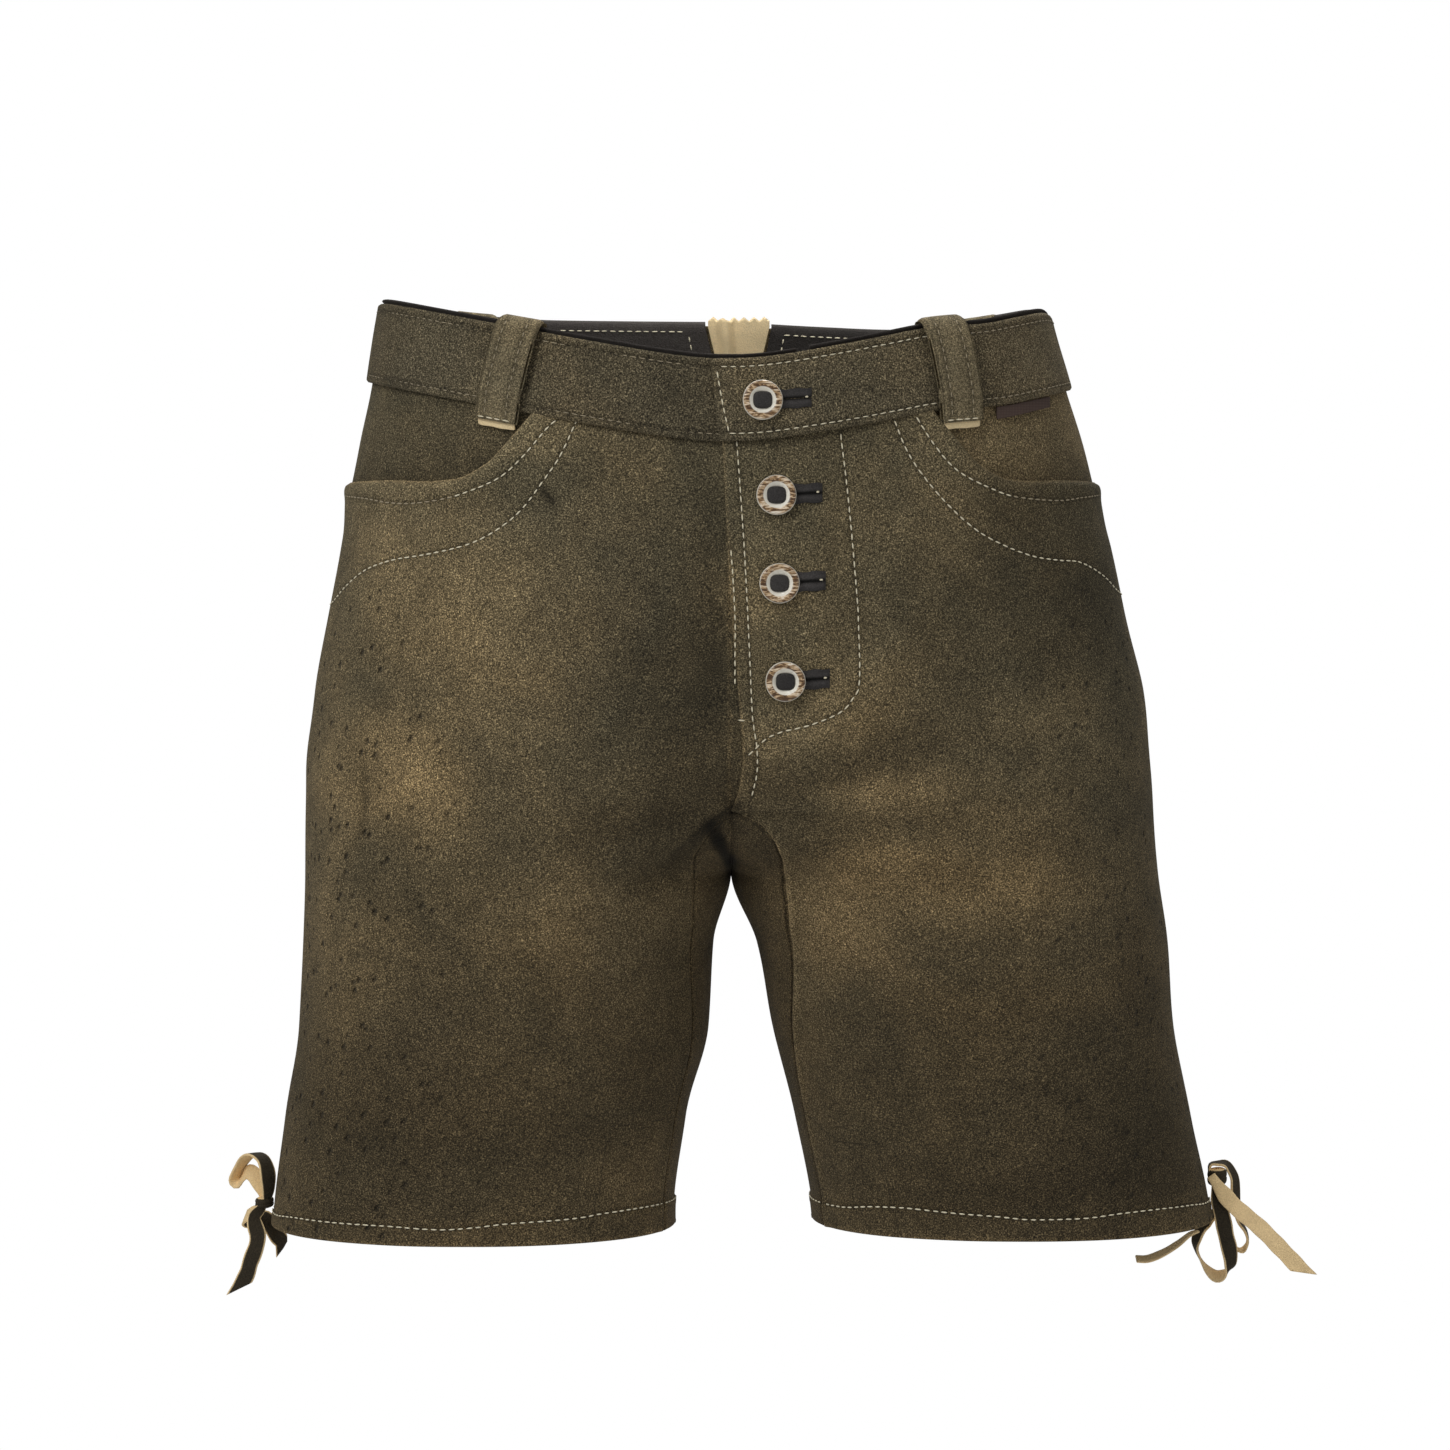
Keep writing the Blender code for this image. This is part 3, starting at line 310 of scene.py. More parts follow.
def front_lift(half, angle, z):
    """How far the front is raised off the outline by the pocket's edge and by the fly."""
    angle, z = np.broadcast_arrays(np.asarray(angle, float), np.asarray(z, float))
    pocket = POCKET_LIFT * (1 - smooth(pocket_distance(half, angle, z) / POCKET_FADE))
    lift = np.where((z > -110) & (angle < 84), pocket, 0)
    if half == RIGHT:
        x = skin(half, angle, z)[..., 0]
        fly = FLY_LIFT * (1 - smooth((x - STAND_WIDTH - 4) / FLY_FADE))
        lift = np.where(z > FRONT_FORK + 1, np.maximum(lift, fly), lift)
    return lift


def inseam_angle(half, z, behind=False):
    side = np.degrees(SEAM_SIDE / section(half, z)[1])
    return 180 - of_half(half, INSEAM, z, 1) + (side if behind else -side)


def front_end(half, z):
    """The angle at which a front panel ends: the centre front, then the inseam."""
    centre = angle_of_x(half, -SEAM_SIDE if half == LEFT else read(FLY_EDGE, z), z)
    return np.where(z < FRONT_FORK - 0.5, inseam_angle(half, z), centre)


def front_top(half, angle):
    """Height of a front panel's top edge, which follows the pocket and then the waistband."""
    top = band_foot(half, angle) + TUCK
    return np.where(angle < 70, np.minimum(top, pocket_height(half, angle)), top)


def back_edge(half, z):
    """The x of a back panel's edge beside the gusset, and then beside the centre seam."""
    opened = np.maximum(0.0, (z - GUSSET_TIP) / -GUSSET_TIP)
    return BACK_GAP_X * opened + half * (SEAM_SIDE + (BACK_GAP_PANEL - SEAM_SIDE) * opened)


def band_lift(half, x):
    """How far the right waistband half is raised where it lies over the left one."""
    return BAND_LIFT * (half == RIGHT) * (1 - smooth((x - STAND_WIDTH - 8) / FLY_FADE))


# ---- looks


def wired(tree, kind, feeds=(), out=0, **settings):
    """Adds a node, sets it, joins or sets its inputs, and gives back one of its outputs."""
    node = tree.nodes.new(kind)
    for key, value in settings.items():
        setattr(node, key, value)
    for key, value in dict(feeds).items():
        if isinstance(value, bpy.types.NodeSocket):
            tree.links.new(value, node.inputs[key])
        else:
            node.inputs[key].default_value = value
    return node.outputs[out]


def sums(tree, operation, a, b=0.0, c=0.0, clamp=False):
    return wired(tree, "ShaderNodeMath", {0: a, 1: b, 2: c}, operation=operation, use_clamp=clamp)


def times(tree, a, b):
    return sums(tree, "MULTIPLY", a, b)


def added(tree, total, *parts):
    """A total with more values added to it, each times its weight."""
    for value, weight in parts:
        total = sums(tree, "MULTIPLY_ADD", value, weight, total)
    return total


def mottle(tree, place, scale, detail=2.0, rough=0.5, twist=0.0):
    """Noise from about -0.5 to 0.5."""
    feeds = {"Vector": place, "Scale": scale, "Detail": detail, "Roughness": rough, "Distortion": twist}
    return sums(tree, "SUBTRACT", wired(tree, "ShaderNodeTexNoise", feeds), 0.5)


def blended(tree, factor, a, b, blend="MIX"):
    return wired(tree, "ShaderNodeMix", {0: factor, 6: a, 7: b}, out=2, data_type="RGBA", blend_type=blend)


def faded(tree, value, width):
    """The nodes' own hump."""
    scaled = sums(tree, "DIVIDE", value, width)
    return sums(tree, "EXPONENT", times(tree, times(tree, scaled, scaled), -1.0))


def charted(tree, name):
    """A value that the piece's own points carry."""
    return wired(tree, "ShaderNodeAttribute", out=2, attribute_name=name)


FLOAT, COLOUR, VECTOR = "NodeSocketFloat", "NodeSocketColor", "NodeSocketVector"


def nap_group():
    """The nap of brushed leather: grain, mottling, nicks, sewn furrows with painted shade in them, and rubbed edges.
    """
    group = bpy.data.node_groups.new("leather_nap", "ShaderNodeTree")
    for label, kind, default in (
        ("Place", VECTOR, (0, 0, 0)), ("Colour", COLOUR, (0, 0, 0, 1)), ("Rubbed", COLOUR, (0, 0, 0, 1)),
        ("Grain", FLOAT, 0.0), ("Mottle", FLOAT, 0.0), ("Pits", FLOAT, 0.0), ("Tone", FLOAT, 0.0),
        ("Warm", FLOAT, 0.0), ("Seam", FLOAT, FAR), ("Edge", FLOAT, FAR),
    ):
        group.interface.new_socket(label, in_out="INPUT", socket_type=kind).default_value = default
    for label, kind in (("Colour", COLOUR), ("Height", FLOAT)):
        group.interface.new_socket(label, in_out="OUTPUT", socket_type=kind)
    given = group.nodes.new("NodeGroupInput").outputs
    made = group.nodes.new("NodeGroupOutput").inputs
    place, grain, mottled = given["Place"], given["Grain"], given["Mottle"]
    fine = mottle(group, place, 1550, 1, 0.6)
    coarse = mottle(group, place, 420, 2, 0.55)
    cloud = mottle(group, place, 74, 2, 0.5, 0.4)
    drift = mottle(group, place, 19, 2, 0.5, 0.5)
    # The furrow along sewn rows: a dent, and painted shade in the colour.
    furrow = faded(group, given["Seam"], 1.25)
    rub = faded(group, given["Edge"], 1.7)
    # A few short slanting nicks in the skin.
    slant = wired(group, "ShaderNodeMapping", {"Vector": place, "Rotation": (0, 0.75, 0), "Scale": (1, 1, 2.1)},
                  vector_type="TEXTURE")
    cell = wired(group, "ShaderNodeTexVoronoi", {"Vector": slant, "Scale": 190}).node.outputs
    chosen = wired(group, "ShaderNodeSeparateColor", {0: cell["Color"]})
    nick = times(group, faded(group, cell["Distance"], 0.15), sums(group, "GREATER_THAN", chosen, 0.25))
    nick = times(group, nick, given["Pits"])
    # Brightness in stops, on top of the colour: the charted tone, which carries painted light and shade, then the
    # nap, painted shade in the sewn furrows, rubbed edges and nicks.
    stops = added(
        group, given["Tone"], (fine, times(group, grain, 2.9)), (coarse, times(group, grain, 0.12)),
        (cloud, times(group, mottled, 1.8)), (drift, times(group, mottled, 1.2)),
        (furrow, -0.55), (rub, 0.42), (nick, -0.65),
    )
    level = sums(group, "POWER", 2.0, stops)
    warmth = sums(group, "MULTIPLY_ADD", rub, 0.3, added(group, given["Warm"], (drift, 0.9)), clamp=True)
    hue = blended(group, warmth, given["Colour"], given["Rubbed"])
    shade = wired(group, "ShaderNodeCombineColor", {0: level, 1: level, 2: level})
    group.links.new(blended(group, 1.0, hue, shade, "MULTIPLY"), made["Colour"])
    height = added(group, times(group, fine, 0.5), (coarse, 0.12), (cloud, 0.9), (furrow, -0.55), (nick, -3.2))
    group.links.new(height, made["Height"])
    return group


NAP = nap_group()


def nap(tree, place, colour, rubbed, grain, mottled, charts=()):
    """The colour and height of a leather's nap. The charts' values come from the piece's own points."""
    feeds = {"Place": place, "Colour": (*colour, 1), "Rubbed": (*rubbed, 1), "Grain": grain, "Mottle": mottled}
    feeds.update((label, charted(tree, label.lower())) for label in charts)
    made = wired(tree, "ShaderNodeGroup", feeds, node_tree=NAP).node.outputs
    return made["Colour"], made["Height"]


def new_look(name, paint, bumped, roughness, sheen=0.0, specular=0.22, coat=0.0):
    """A material. Its paint, given the nodes and the object's own coordinates, makes its colour and height."""
    look = bpy.data.materials.new(name)
    look.use_nodes = True
    tree = look.node_tree
    shader = tree.nodes["Principled BSDF"].inputs
    for label, value in (("Roughness", roughness), ("Specular IOR Level", specular), ("Sheen Weight", sheen),
                         ("Sheen Roughness", 0.55), ("Sheen Tint", (0.6, 0.5, 0.32, 1)), ("Coat Weight", coat)):
        shader[label].default_value = value
    colour, height = paint(tree, wired(tree, "ShaderNodeTexCoord", out=3))
    tree.links.new(colour, shader["Base Color"])
    bump = wired(tree, "ShaderNodeBump", {"Strength": bumped, "Distance": MM, "Height": height})
    tree.links.new(bump, shader["Normal"])
    return look


def hide(name, colour, rubbed, grain, mottled, sheen, charts=(), roughness=0.93, bumped=1.0):
    """A leather with a nap."""
    def paint(tree, place):
        return nap(tree, place, colour, rubbed, grain, mottled, charts)

    return new_look(name, paint, bumped, roughness, sheen)


def thread_look(name, dark, light):
    """Sewing thread with its twist."""
    def paint(tree, place):
        twist = mottle(tree, place, 2600, 1, 0.5)
        return blended(tree, sums(tree, "ADD", twist, 0.5, clamp=True), (*dark, 1), (*light, 1)), twist

    return new_look(name, paint, 0.4, 0.8)


def horn_paint(tree, place):
    """Polished stag horn: a pale rim and eye, and a brown streaked face between them."""
    radius = charted(tree, "radius")
    streaks = wired(tree, "ShaderNodeMapping", {"Vector": place, "Scale": (0.55, 1, 2.4)})
    grain = mottle(tree, streaks, 260, 3, 0.72, 1.2)
    speck = mottle(tree, place, 900, 2, 0.7)
    inside_rim = wired(tree, "ShaderNodeMapRange", {0: radius, 1: 9.03, 2: 8.7})
    outside_eye = wired(tree, "ShaderNodeMapRange", {0: radius, 1: 5.95, 2: 6.25})
    worn = sums(tree, "MULTIPLY_ADD", grain, 5.0, 1.0, clamp=True)
    brown = times(tree, times(tree, inside_rim, outside_eye), worn)
    pale = blended(tree, sums(tree, "MULTIPLY_ADD", speck, 1.4, 0.5, clamp=True),
                   (0.82, 0.75, 0.6, 1), (0.96, 0.93, 0.84, 1))
    dark = blended(tree, sums(tree, "MULTIPLY_ADD", grain, -8.0, 0.45, clamp=True),
                   (0.085, 0.038, 0.012, 1), (0.6, 0.36, 0.14, 1))
    return blended(tree, brown, pale, dark), added(tree, times(tree, speck, 0.15), (grain, 0.3))


def tag_paint(tree, place):
    """A plain woven brown ribbon."""
    feeds = {"Vector": place, "Scale": 420, "Distortion": 0.4}
    weave = times(tree, *(wired(tree, "ShaderNodeTexWave", feeds, out=1, bands_direction=way) for way in "XZ"))
    return blended(tree, weave, (0.066, 0.042, 0.034, 1), (0.125, 0.088, 0.072, 1)), weave


def thong_paint(tree, place):
    """Thong leather: dark dyed on its outer face, bare and pale on its edges and its inner face."""
    pale, _ = nap(tree, place, (0.82, 0.61, 0.33), (0.88, 0.66, 0.33), 0.25, 0.3)
    dark, height = nap(tree, place, (0.032, 0.025, 0.015), (0.055, 0.042, 0.024), 0.8, 0.3)
    outer = wired(tree, "ShaderNodeMapRange", {0: charted(tree, "side"), 1: 0.9, 2: 0.96})
    return blended(tree, outer, pale, dark), height


ALL_CHARTS, BAND_CHARTS = ("Tone", "Warm", "Seam", "Edge", "Pits"), ("Tone", "Warm", "Seam")
TAN = (0.125, 0.088, 0.042)
olive_suede = hide("olive_suede", (0.0635, 0.0525, 0.0302), TAN, 2.9, 0.55, 0.07, ALL_CHARTS, bumped=1.2)
band_suede = hide("band_suede", (0.0725, 0.06, 0.0362), TAN, 3.2, 0.5, 0.1, BAND_CHARTS, bumped=1.6)
strap_suede = hide("strap_suede", (0.081, 0.068, 0.041), TAN, 2.2, 0.45, 0.1, BAND_CHARTS)
charcoal = hide("charcoal_facing", (0.042, 0.037, 0.034), (0.06, 0.052, 0.046), 0.6, 0.3, 0.05, ("Tone",))
cream = hide("cream_leather", (0.86, 0.68, 0.4), (0.88, 0.67, 0.36), 0.2, 0.3, 0.1, bumped=0.6)
black = hide("black_leather", (0.032, 0.029, 0.028), (0.06, 0.055, 0.052), 0.7, 0.4, 0.05, ("Tone",), 0.55)
thread = thread_look("cream_thread", (0.7, 0.62, 0.42), (0.95, 0.88, 0.68))
worn_thread = thread_look("worn_thread", (0.3, 0.25, 0.165), (0.5, 0.42, 0.285))
horn = new_look("stag_horn", horn_paint, 0.5, 0.28, specular=0.5, coat=0.4)
ribbon = new_look("brown_tag", tag_paint, 0.3, 0.75)
thong_leather = new_look("thong_leather", thong_paint, 0.7, 0.85, 0.1)

# ---- making pieces

JOIN_WITHIN = 0.02 * MM


def mesh_of(made, name):
    """A mesh made from a bmesh, which is let go."""
    mesh = bpy.data.meshes.new(name)
    made.to_mesh(mesh)
    made.free()
    return mesh


def sheet_mesh(points, outward, values=(), at=None):
    """A mesh whose rows of points (in millimetres) are given. It faces outward at one of its cells."""
    rows, columns = points.shape[:2]
    made = bmesh.new()
    bmesh.ops.create_grid(made, x_segments=columns - 1, y_segments=rows - 1, size=1)
    r, c = at or (rows // 2, columns // 2)
    across = points[r, min(c + 1, columns - 1)] - points[r, c - 1]
    up = points[min(r + 1, rows - 1), c] - points[r - 1, c]
    if np.cross(across, up) @ np.array(outward, float) < 0:
        bmesh.ops.reverse_faces(made, faces=made.faces)
    mesh = mesh_of(made, "sheet")
    mesh.vertices.foreach_set("co", (points * MM).astype(np.float32).ravel())
    for label, value in dict(values).items():
        chart = mesh.attributes.new(label, "FLOAT", "POINT")
        chart.data.foreach_set("value", np.broadcast_to(value, points.shape[:2]).astype(np.float32).ravel())
    return mesh


def piece(name, meshes, look, stands_for=(), thick=0.0):
    """Joins meshes into one piece, gives it its thickness inwards, and hands it to the frame."""
    joined = bmesh.new()
    for mesh in meshes:
        joined.from_mesh(mesh)
    bmesh.ops.remove_doubles(joined, verts=joined.verts, dist=JOIN_WITHIN)
    whole = mesh_of(joined, name)
    whole.materials.append(look)
    whole.shade_smooth()
    made = bpy.data.objects.new(name, whole)
    scene.collection.objects.link(made)
    if thick:
        wall = made.modifiers.new("thickness", "SOLIDIFY")
        wall.thickness = thick * MM
        wall.offset = -1
    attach(made, "root")
    if stands_for:
        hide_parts(*stands_for)
    return made


def spaced(count, ends=(0.0025, 0.006, 0.011)):
    """Shares from 0 to 1, closer together at both ends."""
    inner = np.linspace(0.018, 0.982, count)
    return np.concatenate(([0], ends, inner, [1 - e for e in reversed(ends)], [1]))


def run_of(points, axis=0):
    """Length so far along points in a row, or along each column or row of a sheet."""
    steps = np.linalg.norm(np.diff(points, axis=axis), axis=-1)
    return np.insert(np.cumsum(steps, axis=axis), 0, 0, axis=axis)


def along_run(run, field, at):
    """A line's vectors read at lengths along it."""
    return np.stack([np.interp(at, run, column) for column in field.T], -1)


def traced(rows, spacing=1.5):
    """Evenly spaced points along a smooth curve through rows of numbers."""
    p = np.array(rows, float)
    p = np.vstack((2 * p[0] - p[1], p, 2 * p[-1] - p[-2]))
    dense = []
    for p0, p1, p2, p3 in zip(p, p[1:], p[2:], p[3:]):
        t = np.linspace(0, 1, 16, endpoint=False)[:, None]
        dense.append(0.5 * (2 * p1 + (p2 - p0) * t + (2 * p0 - 5 * p1 + 4 * p2 - p3) * t**2
                            + (3 * p1 - p0 - 3 * p2 + p3) * t**3))
    dense = np.vstack((*dense, p[-2]))
    run = run_of(dense[:, :3])
    return along_run(run, dense, np.linspace(0, run[-1], max(4, round(run[-1] / spacing))))


def seam_chart(points, normals, lines):
    """Distance to the nearest sewn row, changing sign across each row."""
    best, sign = FAR, 1
    for line in lines:
        far, side = from_line(points, line[::3], normals)
        best, sign = np.minimum(best, far), sign * side
    return best * sign


def edge_chart(points, sides):
    """Distance of each point of a sheet from its edges: top, start and end, where named."""
    down, along = run_of(points), run_of(points, 1)
    found = {"top": down, "start": along, "end": along[:, -1:] - along}
    return np.minimum(FAR, np.minimum.reduce([found[side] for side in sides]))


# ---- sewing

PITCH, STITCH, PROUD = 4.2, 3.0, 0.22
MM_PER_DEGREE = 1.8
sewn_rows = []


def sewn(points, normals, pitch=PITCH, stitch=STITCH, thick=0.33, worn=False):
    """Notes a row of stitches along a line of points. Worn thread has taken on the leather's colour."""
    sewn_rows.append((points, normals, pitch, stitch, thick, np.broadcast_to(worn, len(points)).astype(float)))


def sew(half, angle, z, off, inside=False, worn_past=math.inf, **thread):
    """Notes a row of stitches along a half. In front, past some distance from the middle, its thread is worn."""
    points, out = place(half, angle, z, off), out_from(half, angle, z)
    worn = (points[:, 1] < 0) & (half * points[:, 0] > worn_past)
    sewn(points, -out if inside else out, worn=worn, **thread)


def stitch_meshes(pick_worn):
    """The noted rows as short rounded stitches in their furrows, one mesh a row: the worn ones or the rest."""
    hand = np.random.default_rng(7)
    meshes = []
    for points, normals, pitch, stitch, thick, worn in sewn_rows:
        row = bmesh.new()
        run = run_of(points)
        for start in np.arange(0.5, run[-1] - stitch, pitch):
            length, lean = stitch * hand.uniform(0.88, 1.06), hand.uniform(-0.05, 0.05)
            at = start + np.array((0, 0.5, 1)) * length
            if (np.interp(at[1], run, worn) > 0.5) != pick_worn:
                continue
            a, middle, b = along_run(run, points, at)
            out = Vector(along_run(run, normals, at[1])).normalized()
            along = Vector(b - a).normalized()
            across = out.cross(along).normalized()
            along = (along + across * lean).normalized()
            out = along.cross(across)
            turn = Matrix((across, out, along)).transposed().to_4x4()
            size = Matrix.Diagonal((thick * 1.15, thick, length / 2, 1))
            spot = Matrix.Translation(Vector(middle) * MM)
            bmesh.ops.create_uvsphere(row, u_segments=6, v_segments=5, radius=1,
                                      matrix=spot @ turn @ Matrix.Scale(MM, 4) @ size)
        meshes.append(mesh_of(row, "row"))
    return meshes


def front_row(half, rows, off, round_side=False):
    """Angles, heights and offs along a smooth line on a front panel through (x, height) rows."""
    x, z = np.array(rows, float).T
    if round_side:
        angle, z = traced(np.stack((angle_of_x(half, x, z) * MM_PER_DEGREE, z), -1)).T
        angle = angle / MM_PER_DEGREE
    else:
        x, z = traced(rows).T
        angle = angle_of_x(half, x, z)
    return angle, z, front_lift(half, angle, z) + off


POCKET_ROWS = {
    LEFT: (
        ((-79.8, -9.5), (-83.9, -12.7), (-96.3, -27), (-106.9, -36.2), (-121.7, -42.8), (-133.3, -46.2),
         (-147.5, -48.3), (-159.5, -48.1), (-171.1, -46.5), (-181.5, -46), (-182.45, -46.2)),
        ((-70.2, -7.9), (-78.5, -25.3), (-86.3, -36.8), (-96, -49.7), (-106.1, -58.5), (-117.7, -65.1),
         (-129.5, -68.9), (-143.8, -72), (-155.8, -74.1), (-165.6, -77.1), (-173.2, -80.8), (-182, -88),
         (-188.5, -95), (-191.8, -98)),
    ),
    RIGHT: (
        ((82.2, -4.1), (83.6, -6.4), (93.2, -21.1), (104.3, -33.1), (120.1, -41.5), (132.2, -45.4), (151.4, -47.3),
         (164, -46.3), (173.4, -45.6), (174.45, -45.7)),
        ((73.1, -5.2), (81.9, -25.4), (95.8, -43.8), (112, -59.1), (126.2, -67.1), (140.4, -72.5), (152.5, -74.6),
         (163.3, -76), (175.3, -82.6), (183, -90), (186.7, -93)),
    ),
}
FLY_ROWS = (
    ((2.1, -18.5), (2.6, -21.3), (4.4, -45.9), (6.2, -73.2), (7.6, -100.4), (9.5, -140.1), (10.5, -149.5),
     (12, -158.6), (12.2, -169.9), (10.6, -178.7), (9.5, -184)),
    ((50, -14.9), (50.4, -18.5), (53.2, -41.3), (55.4, -64.2), (57.7, -91.5), (58.2, -100.6), (58.7, -128.6),
     (55.6, -136.8), (49.7, -143.1), (36, -148.5), (22.8, -151.6), (16, -154.7), (11.5, -158.8), (6.2, -163.8)),
)
FLY_EDGE_ROW = ((-0.2, -68.2), (0.8, -82.3), (1.7, -100.4), (1.7, -114.1), (1.7, -130.1))
FLY_BAR = ((2.8, -145.9), (10, -146.6))
HEM_ROWS = {
    # degrees round the leg, height above the hem
    LEFT: ((-180, 11.5), (-90, 10), (0, 6.5), (13, 6.7), (34, 8.8), (68, 9.4), (84, 8.4), (100, 11.2), (121, 12.7),
           (128, 13.7), (141, 14.1), (180, 12.5)),
    RIGHT: ((-180, 11), (-90, 10), (0, 9.5), (20, 10.6), (30, 11.9), (50, 12.8), (60, 12.5), (75, 10.8), (87, 10.7),
            (94, 12.1), (104, 13.2), (122, 14.9), (132, 14.2), (147, 11.8), (180, 11)),
}
HEM_PROFILE = ((0.8, 0), (0.35, -0.12), (0.1, -0.42), (0, -0.9), (0, -1.5), (0.02, -2.2), (0.15, -2.9), (0.5, -3.4),
               (1.3, -3.8), (3, -3.9), (7, -3.9), (12, -4), (16.5, -4.1))

# Painted deep shade where the leather of the front folds in on itself, beside the fly and in its creases; painted
# highlight on two fold ridges; and one short dark nick in the leather.
SHADES = (
    # x0, z0, x1, z1, width, tone
    (-9.5, -197.5, -6, -205, 2.8, -3), (-6, -205, -0.3, -218, 2.4, -4.5), (-0.3, -218, 0, -228, 2.2, -3),
    (-12, -24, -6, -150, 7, -0.42), (0, -190, -3, -160, 4, -0.4), (16, -176, 90, -160, 9, -0.35),
    (20, -213, 108, -219, 9, -0.5), (-14, -194, -78, -205, 9, -0.3), (30, -186, 118, -181, 9, 0.08),
    (26, -199, 100, -201, 8, 0.15), (-86.5, -41.5, -82.5, -46.5, 1.9, -1.7), (-172.5, -168, -171, -186, 2.2, -0.5),
    (-171, -186, -173, -202, 2, -0.4),
)

# Where one fold of the front hangs over the next: the shade is sharp on its upper side and fades below.
OVERHANGS = (
    # x0, z0, x1, z1, width, tone
    (4, -185.5, -10.7, -195.3, 4, -1.7), (-10.7, -195.3, -20, -203, 5, -0.8), (-12, -196.5, -34, -217.5, 11, -0.55),
    (20, -178, 62, -168, 13, -0.3), (28, -206, 74, -200, 12, -0.3),
)

# Where the leather's dyed colour is worn lighter or has stayed darker, mixed with painted light and shade: painted
# light along the left side and just under the band, painted shade beside the fly, round the fork and along the right
# side.
PATCHES = {
    # x, z, reach_x, reach_z, tone, warm
    FRONT: (
        (-148, -174, 32, 28, 0.6, 0.6), (-134, -110, 50, 41, 0.25, 0.2), (-110, -70, 46, 44, 0.45, 0.1),
        (-160, -70, 22, 40, 0.4, 0.1), (-106, -130, 70, 50, 0.15, 0.1), (-76, -236, 34, 34, 0.42, 0.25),
        (-188, -200, 16, 110, 0.3, 0.1), (-12, -110, 16, 60, -0.35, 0), (-16, -175, 22, 34, -0.4, 0),
        (-28, -211, 18, 14, -0.3, 0), (-37, -313, 24, 28, -0.2, 0), (-150, -338, 50, 24, -0.2, 0),
        (-48, -366, 30, 16, 0.42, 0.15), (-76, -262, 26, 34, -0.3, 0), (-146, -92, 18, 40, -0.18, 0),
        (-120, -392, 80, 8, 0.15, 0.2), (26, -90, 24, 70, 0.42, 0), (24, -158, 26, 12, 0.65, 0.1),
        (62, -100, 22, 60, 0.34, 0.05), (100, -40, 26, 40, 0.45, 0.1), (59, -138, 40, 22, 0.15, 0.3),
        (163, -92, 24, 34, -0.55, 0), (128, -62, 16, 22, -0.2, 0), (150, -152, 36, 24, 0.4, 0.2),
        (108, -222, 58, 18, 0.34, 0.6), (62, -178, 36, 10, 0.12, 0.3), (66, -214, 30, 11, 0.25, 0.5),
        (52, -248, 30, 22, 0.4, 0.3), (100, -190, 50, 14, 0.2, 0.3), (197, -250, 18, 60, -0.35, 0),
        (197, -350, 30, 30, -0.45, 0), (160, -322, 32, 24, -0.2, 0), (96, -310, 26, 60, -0.18, 0),
        (148, -208, 22, 16, -0.35, 0), (140, -372, 70, 16, -0.4, 0), (130, -280, 40, 14, -0.1, 0.2),
        (-4, -214, 12, 18, -0.3, 0), (-89, -20, 20, 22, 0.45, 0.05), (-12, -30, 13, 14, 0.4, 0),
        (38, -146, 24, 22, 0.35, 0), (-140, -194, 46, 20, 0.2, 0.1), (39, -281, 18, 22, 0.28, 0),
        (135, -281, 50, 20, -0.3, 0), (193, -284, 16, 24, -0.3, 0), (128, -52, 26, 14, -0.5, 0),
        (100, -82, 56, 22, -0.3, 0), (0, -9, 140, 11, 0.14, 0), (172, -396, 14, 10, -0.4, 0),
        (9, -72, 8.5, 55, 0.42, 0), (-28, -128, 26, 30, -0.42, 0), (-24, -168, 20, 20, -0.15, 0),
        (-78, -344, 36, 16, -0.3, 0), (-182, -334, 30, 28, -0.24, 0), (140, -368, 80, 14, -0.28, 0),
        (194, -362, 14, 22, -0.2, 0),
    ),
    BACK: (
        (-120, -130, 60, 44, 0.35, 0.3), (118, -140, 56, 46, 0.3, 0.3), (0, -70, 40, 60, -0.25, 0),
        (-150, -330, 40, 40, -0.35, 0), (170, -300, 34, 50, -0.35, 0), (60, -250, 30, 20, 0.35, 0.4),
        (-70, -290, 34, 26, 0.25, 0.3),
    ),
}


def dye_and_painted_light(points):
    """Tone and warmth of the leather at points: dyed patches mixed with painted light and shade, painted shading that
    follows the folds, painted shade in creases and under overhanging folds, and darker towards the bottom.
    """
    x, y, z = points[..., 0], points[..., 1], points[..., 2]
    tone = 0.37 - 0.07 * smooth((-20 - z) / 20) - 0.12 * smooth((-60 - z) / 60) - 0.58 * smooth((-210 - z) / 140)
    # Painted shading that follows the folds: lighter on their ridges, darker in their troughs.
    tone = tone + 0.14 * relief(points)
    warm = 0.08 + 0.4 * smooth((-70 - z) / 260)
    for face, rows in PATCHES.items():
        here = (y < 0) == (face == FRONT)
        for px, pz, rx, rz, change, warmer in rows:
            near = here * np.exp(-(((x - px) / rx) ** 2 + ((z - pz) / rz) ** 2))
            tone, warm = tone + change * near, warm + warmer * near
    for *line, width, change in SHADES:
        tone = tone + (y < 0) * change * hump(lined(points, *line)[1], width)
    for *line, width, change in OVERHANGS:
        t, off, above = lined(points, *line)
        held = smooth((t + 0.12) / 0.24) * smooth((1.12 - t) / 0.24)
        tone = tone + (y < 0) * change * held * hump(off, np.where(above, 0.9, width))
    return tone, np.clip(warm, 0, 1)


def charts(points, normals=None, seams=(), edge=FAR, pits=0.0):
    """What the suede's look reads at points: its dyed colour with painted light and shade, and the distances from its
    seams and edges.
    """
    tone, warm = dye_and_painted_light(points)
    return {"tone": tone, "warm": warm, "seam": seam_chart(points, normals, seams), "edge": edge, "pits": pits}


# ---- panels

# Below this height a panel's rows of points are level.
PANEL_JOIN = -103.5
SEAT_ROW = 3.2
LEVELS = np.concatenate((np.arange(-106, -182, -2.3), np.arange(-182, -232, -1.15), np.arange(-232, -366, -2.3),
                         [-368]))


